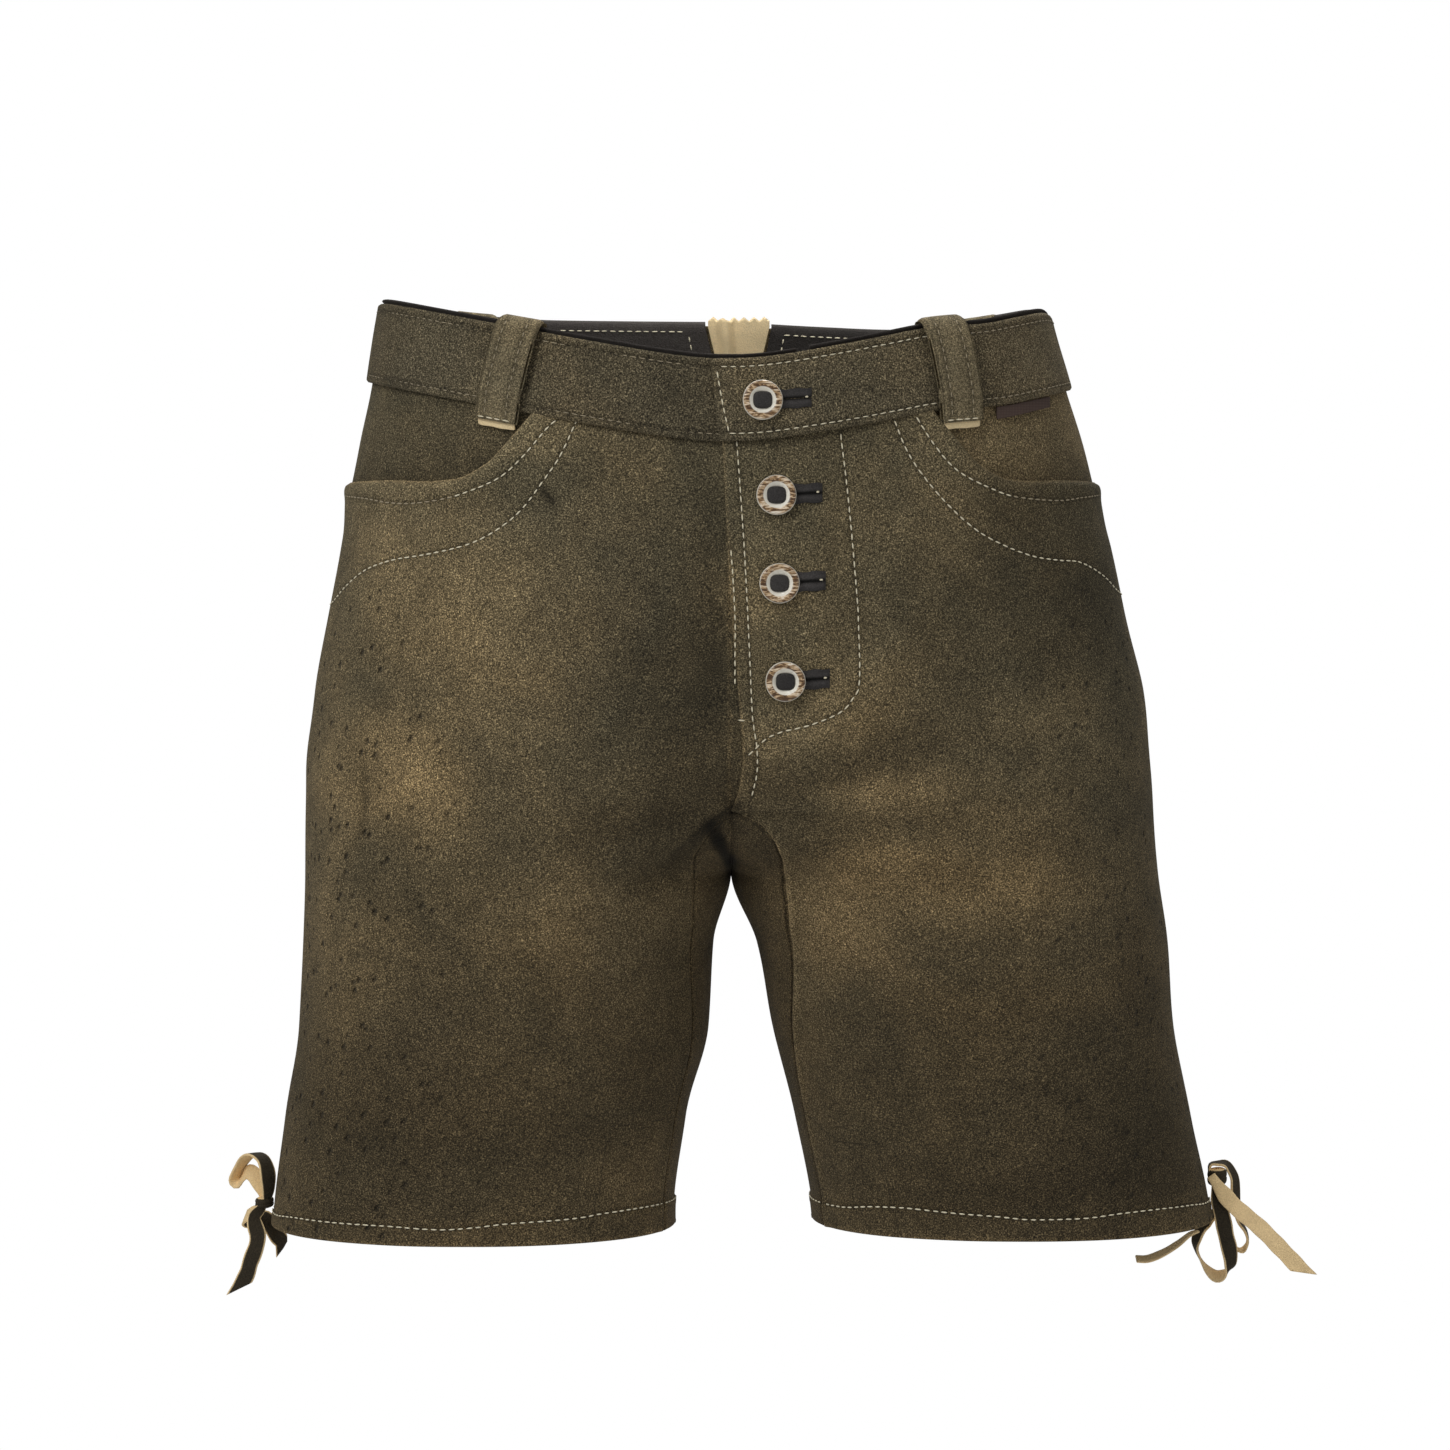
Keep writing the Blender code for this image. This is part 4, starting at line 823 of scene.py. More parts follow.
def leg_rows(half):
    """Heights and offs of a panel's level rows: down the leg to its hem, round the hem and up inside."""
    hem = HEM[half]
    return ([(level, 0.0) for level in LEVELS] + [(hem + h, 0.0) for h in np.arange(24, 1.4, -1.5)]
            + [(hem + h, off) for h, off in HEM_PROFILE])


def panel_rows(half, upper):
    """Heights and offs of all of a panel's rows, of which the upper ones follow its slanting top."""
    level, off = zip(*leg_rows(half))
    z = np.array(upper + [np.full(upper[0].shape, height) for height in level])
    return z, np.array((0.0,) * len(upper) + off)[:, None]


def hem_off(half, angle, z, rel):
    """The hem stands proud below its sewn row, and its edge is rounded."""
    height = z - HEM[half]
    row = read(HEM_ROWS[half], angle)
    return HEM_PROUD * smooth((row + 1.2 - height) / 2.4) + rel


def hem_row(half, first, last, count):
    """Angles and heights along the row of stitches round a hem."""
    angle = np.linspace(first, last, count)
    return angle, HEM[half] + read(HEM_ROWS[half], angle)


def sew_hem(half, angle, z):
    sew(half, angle, z, hem_off(half, angle, z, 0) + PROUD)


def rubbed_edge(half, points, z, rel, sides):
    """Distance from a panel's named edges and from the fold of its hem."""
    return np.minimum(edge_chart(points, sides), np.where(rel < 0.01, np.abs(z - HEM[half] - 0.2), FAR))


def front_panel(half):
    shares = spaced(134)
    top = front_top(half, np.maximum(shares * front_end(half, -10), side_angle(FRONT, -40)))
    upper = [top - drop for drop in (0, 0.25, 0.6, 1.1, 1.8, 2.8, 4, 5.5, 7.2, 9)]
    upper += [upper[-1] - (upper[-1] - PANEL_JOIN) * k / 42 for k in range(1, 43)]
    z, rel = panel_rows(half, upper)
    start, end = side_angle(FRONT, z), front_end(half, z)
    angle = start + (end - start) * shares
    below = np.maximum(0, top - z)
    in_pocket = smooth((63 + POCKET_TURN[half] - angle) / 3)
    lip = in_pocket * (0.75 * hump(below - 4, 3.2) - 1.5 * hump(below, 1.1))
    off = front_lift(half, angle, z) + lip + hem_off(half, angle, z, rel)
    bare = place(half, angle, z, off)
    from_end = edge_chart(bare, ("end",))
    off = off - 1.1 * hump(edge_chart(bare, ("start",)), 1.6)
    if half == RIGHT:
        arch = 1 - 0.8 * smooth((FRONT_FORK - z) / 3) * (1 - smooth((-206 - z) / 12))
        off = off - 0.8 * arch * hump(from_end, 1.0) + 0.35 * hump(from_end - 2.5, 2)
        off = off + 0.5 * hump(from_end - 2.4, 2.4) * smooth((FRONT_FORK - 10 - z) / 14)
    else:
        raised = 0.5 * hump(from_end - 2.4, 2.4) - 0.5 * hump(from_end, 1.2)
        off = off + raised * smooth((FRONT_FORK - 14 - z) / 14)
    points = place(half, angle, z, off)
    hem = hem_row(half, 0.6, inseam_angle(half, HEM[half] + 10) - 0.5, 90)
    seams = [place(half, *front_row(half, rows, 0, True)) for rows in POCKET_ROWS[half]]
    if half == RIGHT:
        seams += [place(half, *front_row(half, rows, 0)) for rows in FLY_ROWS]
    seams.append(place(half, *hem, HEM_PROUD))
    outer = smooth((np.abs(points[..., 0]) - 105) / 55)
    pits = smooth((-70 - z) / 40) * (0.1 + 0.9 * outer) * (1.0 if half == LEFT else 0.7)
    edge = rubbed_edge(half, points, z, rel, ("top", "start", "end"))
    values = charts(points, out_from(half, angle, z), seams, edge, pits)
    # Painted light on the strip along the left pocket's raised edge, and slight painted shade on the right one.
    values["tone"] += (0.45 if half == LEFT else -0.05) * in_pocket * (1 - smooth(below / 17))
    if half == RIGHT:
        # Painted highlight along the raised edge of the right front's inseam below the fork.
        painted_ridge_highlight = 0.6 * hump(from_end, 1.6) + 0.4 * hump(from_end - 2.6, 2)
        values["tone"] += painted_ridge_highlight * smooth((FRONT_FORK - 8 - z) / 10)
    meshes = [sheet_mesh(points, (half * 0.4, -1, 0), values)]
    if half == LEFT:
        meshes.append(button_stand(z, off, points))
    name = f"front_{SIDES[half]}"
    made = piece(f"{name}_leather", meshes, olive_suede, [name], SUEDE)
    for rows, worn_past in zip(POCKET_ROWS[half], (130, math.inf)):
        sew(half, *front_row(half, rows, PROUD, True), worn_past=worn_past)
    sew_hem(half, *hem)
    return made


def button_stand(z, off, points):
    """The left front's strip that goes on under the fly. It joins the panel along the centre front."""
    rows = z[:, -1] >= FRONT_FORK
    level, share = z[rows, -1:], np.linspace(0, 1, 14)
    reach = STAND_WIDTH - 20 * smooth((-150 - level) / 28) - 8.5 * smooth((STAND_BOTTOM - level) / 12)
    stand = place_x(-SEAM_SIDE + (reach + SEAM_SIDE) * share, level, off[rows, -1:] * (1 - share))
    stand[:, 0] = points[rows, -1]
    values = charts(stand)
    # Painted shade: the strip lies under the fly.
    values["tone"] -= 0.3
    return sheet_mesh(stand, (0, -1, 0), values)


def back_panel(half):
    def across(z, share):
        """Angles from the centre seam, or below the fork from the leg's inner side, to the side seam."""
        inner = angle_of_x(half, back_edge(half, z), z, BACK)
        inner = np.where(z < FORK_BOTTOM - 0.5, -180.0, inner)
        return inner + (side_angle(BACK, z) - inner) * share

    shares = spaced(112)
    top = band_foot(half, across(np.full(shares.shape, -4.0), shares)) + TUCK
    down = np.concatenate(([0, 0.003, 0.008, 0.016], np.linspace(0.03, 0.98, 42)))
    z, rel = panel_rows(half, [top + share * (PANEL_JOIN - top) for share in down])
    angle = across(z, shares)
    off = hem_off(half, angle, z, rel)
    bare = place(half, angle, z, off)
    off = off - 1.1 * hump(edge_chart(bare, ("end",)), 1.6)
    off = off - 1.0 * hump(edge_chart(bare, ("start",)), 1.6) * (z > FORK_BOTTOM)
    points = place(half, angle, z, off)
    hem = hem_row(half, -179, -1.5, 110)
    seat = np.linspace(-8, -206, 100)
    seat_angle = angle_of_x(half, back_edge(half, seat) + half * SEAT_ROW, seat, BACK)
    seams = [place(half, *hem, HEM_PROUD), place(half, seat_angle, seat, 0)]
    edge = rubbed_edge(half, points, z, rel, ("end",))
    values = charts(points, out_from(half, angle, z), seams, edge, smooth((-60 - z) / 40) * 0.6)
    meshes = [sheet_mesh(points, (half * 0.4, 1, 0), values), fork_mesh(half, points[:, 0])]
    if half == LEFT:
        # Laps of leather inside the crotch seam and the seat seam, painted dark with the shade that falls there.
        for face, reach, columns, high, low, rows, lap_off in ((FRONT, 6, 9, -182, -223, 24, -2.5),
                                                               (BACK, 5, 7, -59, -222, 60, -1.7)):
            lap_x, lap_z = np.meshgrid(np.linspace(-reach, reach, columns), np.linspace(high, low, rows))
            lap = place_x(lap_x, lap_z, lap_off, face)
            meshes.append(sheet_mesh(lap, (0, -face, 0), dict(charts(lap), tone=-1.5, warm=0.0)))
    name = f"back_{SIDES[half]}"
    made = piece(f"{name}_leather", meshes, olive_suede, [name], SUEDE)
    sew_hem(half, *hem)
    sew_hem(half, *hem_row(half, inseam_angle(half, HEM[half] + 10, True) + 0.5, 180, 24))
    sew(half, seat_angle, seat, PROUD)
    return made


def fork_mesh(half, joint):
    """The part of a back panel that goes on round the fork to the inseam. It joins the panel's inner column."""
    rows = [(FORK_TOP, 0.0)] + [row for row in leg_rows(half) if row[0] < FORK_TOP - 0.5]
    z, rel = (np.array(column)[:, None] for column in zip(*rows))
    share = spaced(22, (0.01, 0.03))
    end = np.where(z >= FORK_BOTTOM - 0.5, angle_of_x(half, half * SEAM_SIDE, z), 180.0)
    start = np.minimum(inseam_angle(half, z, behind=True), end)
    angle = start + (end - start) * share
    z = np.broadcast_to(z, angle.shape)
    off = hem_off(half, angle, z, rel)
    from_seam = edge_chart(place(half, angle, z, off), ("start",))
    off = off - 0.6 * hump(from_seam, 2.2) * smooth((-200 - z) / 18)
    points = place(half, angle, z, off)
    joined = z[:, 0] < FORK_BOTTOM - 0.5
    points[joined, -1] = joint[-joined.sum():]
    values = charts(points, pits=0.2)
    # Painted shade in the fork between the legs: darker all over, more on the right half, and more again beside the
    # inseam lower down.
    dark, shadow = (0.2, 0.12) if half == LEFT else (0.75, 0.3)
    values["tone"] -= dark + shadow * hump(from_seam, 2.6) * smooth((-202 - z) / 16)
    values["warm"] = np.minimum(1, values["warm"] + 0.25)
    return sheet_mesh(points, (-half, -0.3, 0), values)


def pocket_insert(half):
    """The piece behind the pocket's edge. It sinks as it goes under the front."""
    shares, columns = np.linspace(0, 1, 44)[:, None], np.linspace(0, 1, 70)
    angle = np.maximum(side_angle(FRONT, -30), (66.0 + POCKET_TURN[half]) * columns)
    top = band_foot(half, angle) + TUCK
    foot = np.minimum(pocket_height(half, np.maximum(0, angle - 6.5)) - POCKET_HIDDEN, top - 12)
    z = top + (foot - top) * shares
    angle = np.maximum(side_angle(FRONT, z), angle)
    above = z - pocket_height(half, angle)
    off = -0.05 - (above < 0) * POCKET_SINK * smooth(pocket_distance(half, angle, z) / (POCKET_FADE - 3))
    bare = place(half, angle, z, off)
    points = place(half, angle, z, off - 1.0 * hump(edge_chart(bare, ("start",)), 1.6))
    # Painted shade in the pocket's opening: darkest at the front's edge and fading upwards, lighter towards the side
    # seam; the left insert is darker all over.
    dark, deep, warmer = (0.2, 0.6, 0.0) if half == LEFT else (-0.1, 0.35, 0.3)
    values = charts(points, edge=edge_chart(points, ("start",)))
    values["tone"] += deep * (0.5 * smooth((32 - angle) / 30) - hump(np.maximum(0, above), 11)) - dark
    values["warm"] = values["warm"] + warmer
    name = f"pocket_{SIDES[half]}"
    return piece(f"{name}_leather", [sheet_mesh(points, (half * 0.7, -0.7, 0), values)], olive_suede,
                 [name], POCKET_LEATHER)


# ---- waistband

BAND_ROWS = (3.4, 34)
CORNER_DIP = {LEFT: 1.2, RIGHT: 3.6}
STRAIGHT_ENDS = {(LEFT, False): 31.0, (LEFT, True): 30.0, (RIGHT, True): 36.0}
BAND_ENDS = (0.001, 0.0025, 0.005)


def band_end_x(half, facing, height):
    """The x at which a band half ends in front, at heights above its foot. The overlap's corner is round."""
    if (half, facing) in STRAIGHT_ENDS:
        return np.full(np.shape(height), STRAIGHT_ENDS[half, facing])
    lean = np.clip(height / BAND_HEIGHT, 0, 1)
    corner = np.clip(height - (BAND_HEIGHT - 4), 0, 4)
    return BAND_FLY_BOTTOM + (BAND_FLY_TOP - BAND_FLY_BOTTOM) * lean + 4 - np.sqrt(16 - corner**2)


def around_band(half, facing, heights, offs, columns):
    """Points of a waistband half: rows are heights above its foot, columns go round from the fly."""
    height, off = (np.array(column, float)[:, None] for column in (heights, offs))
    lean = np.clip(height / BAND_HEIGHT, 0, 1)
    spare = 1.5 if facing else 0
    back_x = BACK_GAP_X + half * (BACK_GAP_BAND + (BACK_GAP_TOP - BACK_GAP_BAND) * lean + spare)
    first = angle_of_x(half, band_end_x(half, facing, height), 15)
    last = angle_of_x(half, back_x, 15, BACK)
    angle = first + (last - first) * columns
    z = band_foot(half, angle) + height - CORNER_DIP[half] * lean**3 * hump(angle, 11)
    lift = np.where(angle > 0, band_lift(half, skin(half, angle, z)[..., 0]), 0)
    return angle, z, off + lift


def sew_band(half, facing, heights, off, columns, **thread):
    """Notes a row of stitches along one height of a waistband half, or up one column of it."""
    line = around_band(half, facing, heights, [off] * len(heights), columns)
    sew(half, *(values.ravel() for values in line), inside=facing, **thread)


def rows_distance(height, low, high):
    """Distance from the nearer of two rows of stitches, negative between them."""
    return np.sign((height - low) * (height - high) + 1e-9) * np.minimum(np.abs(height - low), np.abs(height - high))


def band(half):
    heights = np.array((0, 0.15, 0.5, 1.1, 2, 3, 3.8, 5, 7, 9.5, 12.5, 16, 19.5, 23, 26.5, 29.5, 31.8, 33.3, 34.4,
                        35.5, 36.6, 37.3, 37.7, 37.9, BAND_HEIGHT))
    from_edge = np.minimum(heights, BAND_HEIGHT - heights)
    offs = BAND_OUTER + 0.25 * np.sin(np.pi * heights / BAND_HEIGHT) - 1.0 * hump(from_edge, 0.55)
    angle, z, off = around_band(half, False, heights, offs, spaced(230, BAND_ENDS))
    ends = edge_chart(place(half, angle, z, off), ("start", "end"))
    turn = np.radians(angle)
    ripple = 0.16 * np.sin(turn * 17 + 0.6 * np.sin(z / 6)) * np.sin(z / 9 + turn * 4)
    points = place(half, angle, z, off - 0.9 * hump(ends, 0.7) + ripple)
    x, edge = points[..., 0], np.minimum(from_edge[:, None], ends)
    tone = 0.3 + 0.14 * np.sin(x / 37 + 0.8 * half) - 0.15 * hump(edge, 1.2)
    tone = tone - 0.4 * hump(x + 172, 26) + 0.28 * hump(x - 150, 22)
    seam = np.clip(rows_distance(heights[:, None], *BAND_ROWS), -FAR, FAR)
    name = f"band_{SIDES[half]}"
    made = piece(f"{name}_leather", [sheet_mesh(points, (half, 0, 0), {"tone": tone, "seam": seam, "warm": 0.1})],
                 band_suede, [name], BAND_LEATHER)
    proud, thick, worn_past = (-0.04, 0.2, -60) if half == LEFT else (0.12, 0.25, 100)
    for row in BAND_ROWS:
        sew_band(half, False, [row], BAND_OUTER + proud, np.linspace(0.006, 0.994, 330), thick=thick,
                 worn_past=worn_past)
    if half == RIGHT:
        x, z = traced(((-6.6, 13), (-6.3, 11.4), (-3.8, -2.9), (-0.6, -17.5))).T
        sew(RIGHT, angle_of_x(RIGHT, x, z), z, BAND_OUTER + 0.3 + BAND_LIFT)
    for share in (0.985, 0.97) if half == LEFT else (0.985,):
        sew_band(half, False, np.linspace(4, 34, 30), BAND_OUTER + 0.3, np.array([share]))
    return made


def facing(half):
    heights = np.array((2.7, 3, 3.6, 5, 8, 13, 18, 23, 28, 32, 35, 37, 38.4, 39.3, 39.8, 40.1, FACING_TOP))
    offs = FACING_OUTER + FACING_ROLL * smooth((heights - BAND_HEIGHT) / 1.8) - 0.4 * hump(FACING_TOP - heights, 0.3)
    angle, z, off = around_band(half, True, heights, offs, spaced(190, BAND_ENDS))
    # Painted light on the back part of the left facing, and painted shade on the right one.
    behind = {"tone": (0.35 if half == LEFT else -0.5) * smooth(-angle / 30)}
    name = f"facing_{SIDES[half]}"
    made = piece(f"{name}_lining", [sheet_mesh(place(half, angle, z, off), (half, 0, 0), behind)], charcoal,
                 [name], LINING_LEATHER)
    inside = FACING_OUTER - LINING_LEATHER - 0.2
    for row in (35.6, 5.6):
        sew_band(half, True, [row], inside, np.linspace(0.02, 0.985, 330), thick=0.3)
    sew_band(half, True, np.linspace(6, 35.6, 30), inside, np.array([0.985]))
    return made


def back_gusset():
    """The pleated piece in the gap behind, with a pinked top edge."""
    columns = np.linspace(0, 1, 97)
    foot = float(band_foot(LEFT, -90))
    top = foot + BAND_HEIGHT
    z = np.concatenate((np.linspace(GUSSET_TIP + 4, foot - 1, 24),
                        np.linspace(foot + 1, top + GUSSET_PROUD, 26)))[:, None]
    half_gap = BACK_GAP_BAND + (BACK_GAP_TOP - BACK_GAP_BAND) * np.minimum(1, (z - foot) / BAND_HEIGHT)
    half_gap = np.where(z < foot + 2, np.minimum(half_gap, BACK_GAP_PANEL), half_gap)
    left, right = (np.where(z < foot, back_edge(half, z), BACK_GAP_X + half * half_gap) - half * LIES_OFF
                   for half in (LEFT, RIGHT))
    opened = np.minimum(1, (right - left) / 28)
    pleat = -4.5 * opened * (hump(columns - 0.27, 0.09) + 0.35 * np.sin(np.pi * columns))
    saw = np.abs(((columns * 6) % 1) - 0.5) * 2
    rise = np.clip((z - top) / GUSSET_PROUD, 0, 1)
    points = place_x(left + (right - left) * columns, z - 2.0 * saw * rise, pleat - 0.2, BACK)
    return piece("back_gusset_leather", [sheet_mesh(points, (0, 1, 0))], cream, ["back_gusset"],
                 GUSSET_LEATHER)


# ---- trimmings

LOOP_ROWS = (-5, 4.6)
CUT_END = 1.5
TAG_X, TAG_WIDTH, TAG_DROP, TAG_THICK = 122.5, 26, 6.1, 0.65
BUTTON_PROFILE = ((3.5, 0.5), (6.8, 0.05), (8.5, 0), (9.0, 0.3), (9.2, 0.9), (9.2, 1.5), (9.05, 2.2), (8.75, 2.7),
                  (8.4, 2.95), (7.7, 3.05), (7.0, 3.02), (6.4, 2.9), (5.95, 2.6), (5.3, 2.0), (4.6, 1.5), (3.5, 1.2))


def belt_loop(name, face, top_x, foot_x):
    """A loop that folds over the waistband's top and is sewn down below its foot."""
    half = RIGHT if top_x > 0 else LEFT

    def foot_at(x, z=0):
        return band_foot(half, angle_of_x(half, x, z, face))

    foot = float(foot_at(foot_x))
    top = float(foot_at(top_x, 30)) + BAND_HEIGHT - (2.0 if face == BACK else 0.0)
    route = traced(((top - 7, -4.2), (top + 1.2, -4.2), (top + 4, -2.6), (top + 4.3, 0.9), (top + 2.6, 4.4),
                    (top - 2, 7), (top - 10, 8.1), (top - 20, 8.2), (foot + 7, 7.6), (foot + 1.5, 5.9),
                    (foot - 3, 4.4), (foot - 6.2, 3.7)), 1.1)
    level, off = route.T
    out_off, out_z = unit(np.gradient(route, axis=0)).T
    middle = top_x + (foot_x - top_x) * (top - level) / (top - foot)
    share = spaced(18, (0.012, 0.028))
    rows = LOOP_WIDTH * (share - 0.5)
    x = middle[:, None] + rows
    slope = foot_at(x) - foot_at(middle)[:, None]
    crown = LOOP_LEATHER / 2 * (1 - 0.75 * hump(np.minimum(share, 1 - share) * LOOP_WIDTH, 0.6))
    z = level[:, None] + slope + out_z[:, None] * crown
    points = place_x(x, z, off[:, None] - out_off[:, None] * crown, face)
    values = {"tone": 0.85, "seam": rows_distance(rows, *LOOP_ROWS), "warm": 0.15}
    strap = piece(f"{name}_strap", [sheet_mesh(points, (0, -face, 0), values)], strap_suede, [name],
                  LOOP_LEATHER)
    # The cut end of the folded strap, which shows its pale side.
    tab_share, drop = np.linspace(0.03, 0.97, 16), np.linspace(0, 1, 9)[:, None]
    tab_x = middle[-1] + LOOP_WIDTH * (tab_share - 0.5)
    ragged = 0.12 * np.sin(tab_share * 13) - 0.5 * hump(np.minimum(tab_share, 1 - tab_share), 0.07)
    tab_z = level[-1] + 2.5 - (5.4 + ragged) * drop + foot_at(tab_x) - foot_at(middle[-1])
    tab = place_x(tab_x, tab_z, 2.3 + 0.5 * np.sin(np.pi * drop), face)
    cut_end = piece(f"{name}_cut_end", [sheet_mesh(tab, (0, -face, 0))], cream, (), CUT_END)
    thread_off = LOOP_LEATHER / 2 + 0.25
    for row in LOOP_ROWS:
        x = middle + row
        line = place_x(x, level + foot_at(x) - foot_at(middle), off + thread_off, face)
        first = len(line) // 6
        sewn(line[first:], out_from(half, angle_of_x(half, x, level, face), level)[first:], PITCH, 2.5, 0.22, True)
    x = middle[-1] + np.linspace(-7.8, 7.8, 20)
    z = level[-1] + 0.9 + foot_at(x) - foot_at(middle[-1])
    sew(half, angle_of_x(half, x, z, face), z, off[-1] + thread_off, stitch=3.3, thick=0.3)
    return strap, cut_end


def side_tag():
    """A short plain ribbon sewn in under the waistband's foot."""
    along, drop = np.linspace(0, 1, 30), np.array((0.4, 0.9, 1.8, 2.8, 3.8, 4.8, 5.5, 5.9, TAG_DROP))[:, None]
    x = TAG_X + TAG_WIDTH * along
    z = band_foot(RIGHT, angle_of_x(RIGHT, x, 0)) - drop * (1 - 0.14 * along)
    wave = 0.25 * np.sin((x - TAG_X + 1) / 5) * drop / TAG_DROP + 0.2 * hump(TAG_DROP - drop, 0.5)
    return piece("side_tag_ribbon", [sheet_mesh(place_x(x, z, 1.5 + wave), (0, -1, 0))], ribbon,
                 ["side_tag"], TAG_THICK)


def front_off(x, z):
    """How far the fly's outer face lies off the outline, on the band and below it."""
    x, z = np.broadcast_arrays(np.asarray(x, float), z)
    below = front_lift(RIGHT, angle_of_x(RIGHT, x, z), z)
    return np.where(z > band_foot(RIGHT, 88), BAND_OUTER + 0.2 + band_lift(RIGHT, x), below)


def buttonhole(number, x, z, end):
    """A bound buttonhole: two rolled lips with a slit between them, caught by a thread at its end."""
    here = np.concatenate(([x - 3], np.linspace(x - 2.6, end - 0.5, 26), [end - 0.15, end]))[:, None]
    side = np.linspace(-1, 1, 25)
    lip = 1.1 - 0.55 * np.abs((np.abs(side) - 0.5) * 2) ** 2.5 - 0.75 * hump(side, 0.11)
    ends = 0.35 + 0.65 * smooth((end - here) / 1.2)
    up = z + side * BUTTONHOLE_HEIGHT / 2 + (here - x) * 0.06 + 0.25 * np.sin(here * 0.7) * side
    points = place_x(here, up, front_off(here, up) + lip * ends + 0.2)
    # Painted highlight along each lip and painted shade in the slit between them.
    shade = {"tone": 0.5 * hump(np.abs(side) - 0.45, 0.2) - 2.5 * hump(side, 0.15)}
    piece(f"buttonhole_{number}_binding", [sheet_mesh(points, (0, -1, 0), shade)], black,
          [f"buttonhole_{number}"], BINDING)
    x_row = np.linspace(end - 3.4, end + 0.2, 6)
    z_row = z + 0.4 + (x_row - x) * 0.06
    sew(RIGHT, angle_of_x(RIGHT, x_row, z_row), z_row, front_off(x_row, z_row) + 1.0, pitch=9, stitch=1.6, thick=0.45)


def facing_out(x, z, off):
    """A placing whose Z points out of the front and whose Y points up it."""
    centre = Vector(place_x(x, z, off))
    out = (Vector(place_x(x, z, off + 10)) - centre).normalized()
    right = out.cross(Vector((0, 0, 1))).normalized() * -1
    turn = Matrix((right, out.cross(right), out)).transposed().to_4x4()
    return Matrix.Translation(centre * MM) @ turn @ Matrix.Scale(MM, 4)


def set_piece(name, made, spot, look, stands_for):
    """A closed piece, moved to its place on the front."""
    bmesh.ops.recalc_face_normals(made, faces=made.faces)
    bmesh.ops.transform(made, matrix=spot, verts=made.verts)
    piece(name, [mesh_of(made, name)], look, [stands_for])


def button(number, spot):
    """A turned horn ring with a rounded rim and a bevelled eye."""
    made = bmesh.new()
    corners = [made.verts.new((radius, 0, height)) for radius, height in BUTTON_PROFILE]
    edges = [made.edges.new(ends) for ends in zip(corners, corners[1:] + corners[:1])]
    bmesh.ops.spin(made, geom=corners + edges, cent=(0, 0, 0), axis=(0, 0, 1), angle=2 * math.pi, steps=56,
                   use_merge=True)
    bmesh.ops.remove_doubles(made, verts=made.verts, dist=0.001)
    radius = made.verts.layers.float.new("radius")
    for corner in made.verts:
        corner[radius] = math.hypot(corner.co.x, corner.co.y)
        turn = math.atan2(corner.co.y, corner.co.x)
        corner.co.z += 0.12 * math.sin(2 * turn + number)
        corner.co.xy *= 1 + 0.008 * math.sin(3 * turn + 2 * number)
    set_piece(f"button_{number}_horn", made, spot, horn, f"button_{number}")


def button_bar(number, spot):
    """The leather that shows in the button's eye, domed and tucked in round its edge."""
    made = bmesh.new()
    bmesh.ops.create_grid(made, x_segments=16, y_segments=16, size=1)
    for corner in made.verts:
        reach = max(abs(corner.co.x), abs(corner.co.y))
        turn = math.atan2(corner.co.y, corner.co.x)
        wide = (abs(math.cos(turn) / 4.35) ** 3.2 + abs(math.sin(turn) / 3.9) ** 3.2) ** (-1 / 3.2)
        limit = min(wide, 4.85) * reach
        corner.co = (limit * math.cos(turn), limit * math.sin(turn), 2.5 - 0.6 * reach**6)
    for item in bmesh.ops.extrude_face_region(made, geom=made.faces[:])["geom"]:
        if isinstance(item, bmesh.types.BMVert):
            item.co.z = 1.25
    set_piece(f"button_bar_{number}_leather", made, spot, black, f"button_bar_{number}")


# ---- hem thongs
# A route's rows are the strap's middle, read from the knot's middle as (out from the leg, back, up),
# then the direction across its flat side in the same order. "cut" slants the free end.

THONG_WIDTH, THONG_LEATHER = 8, 1.3
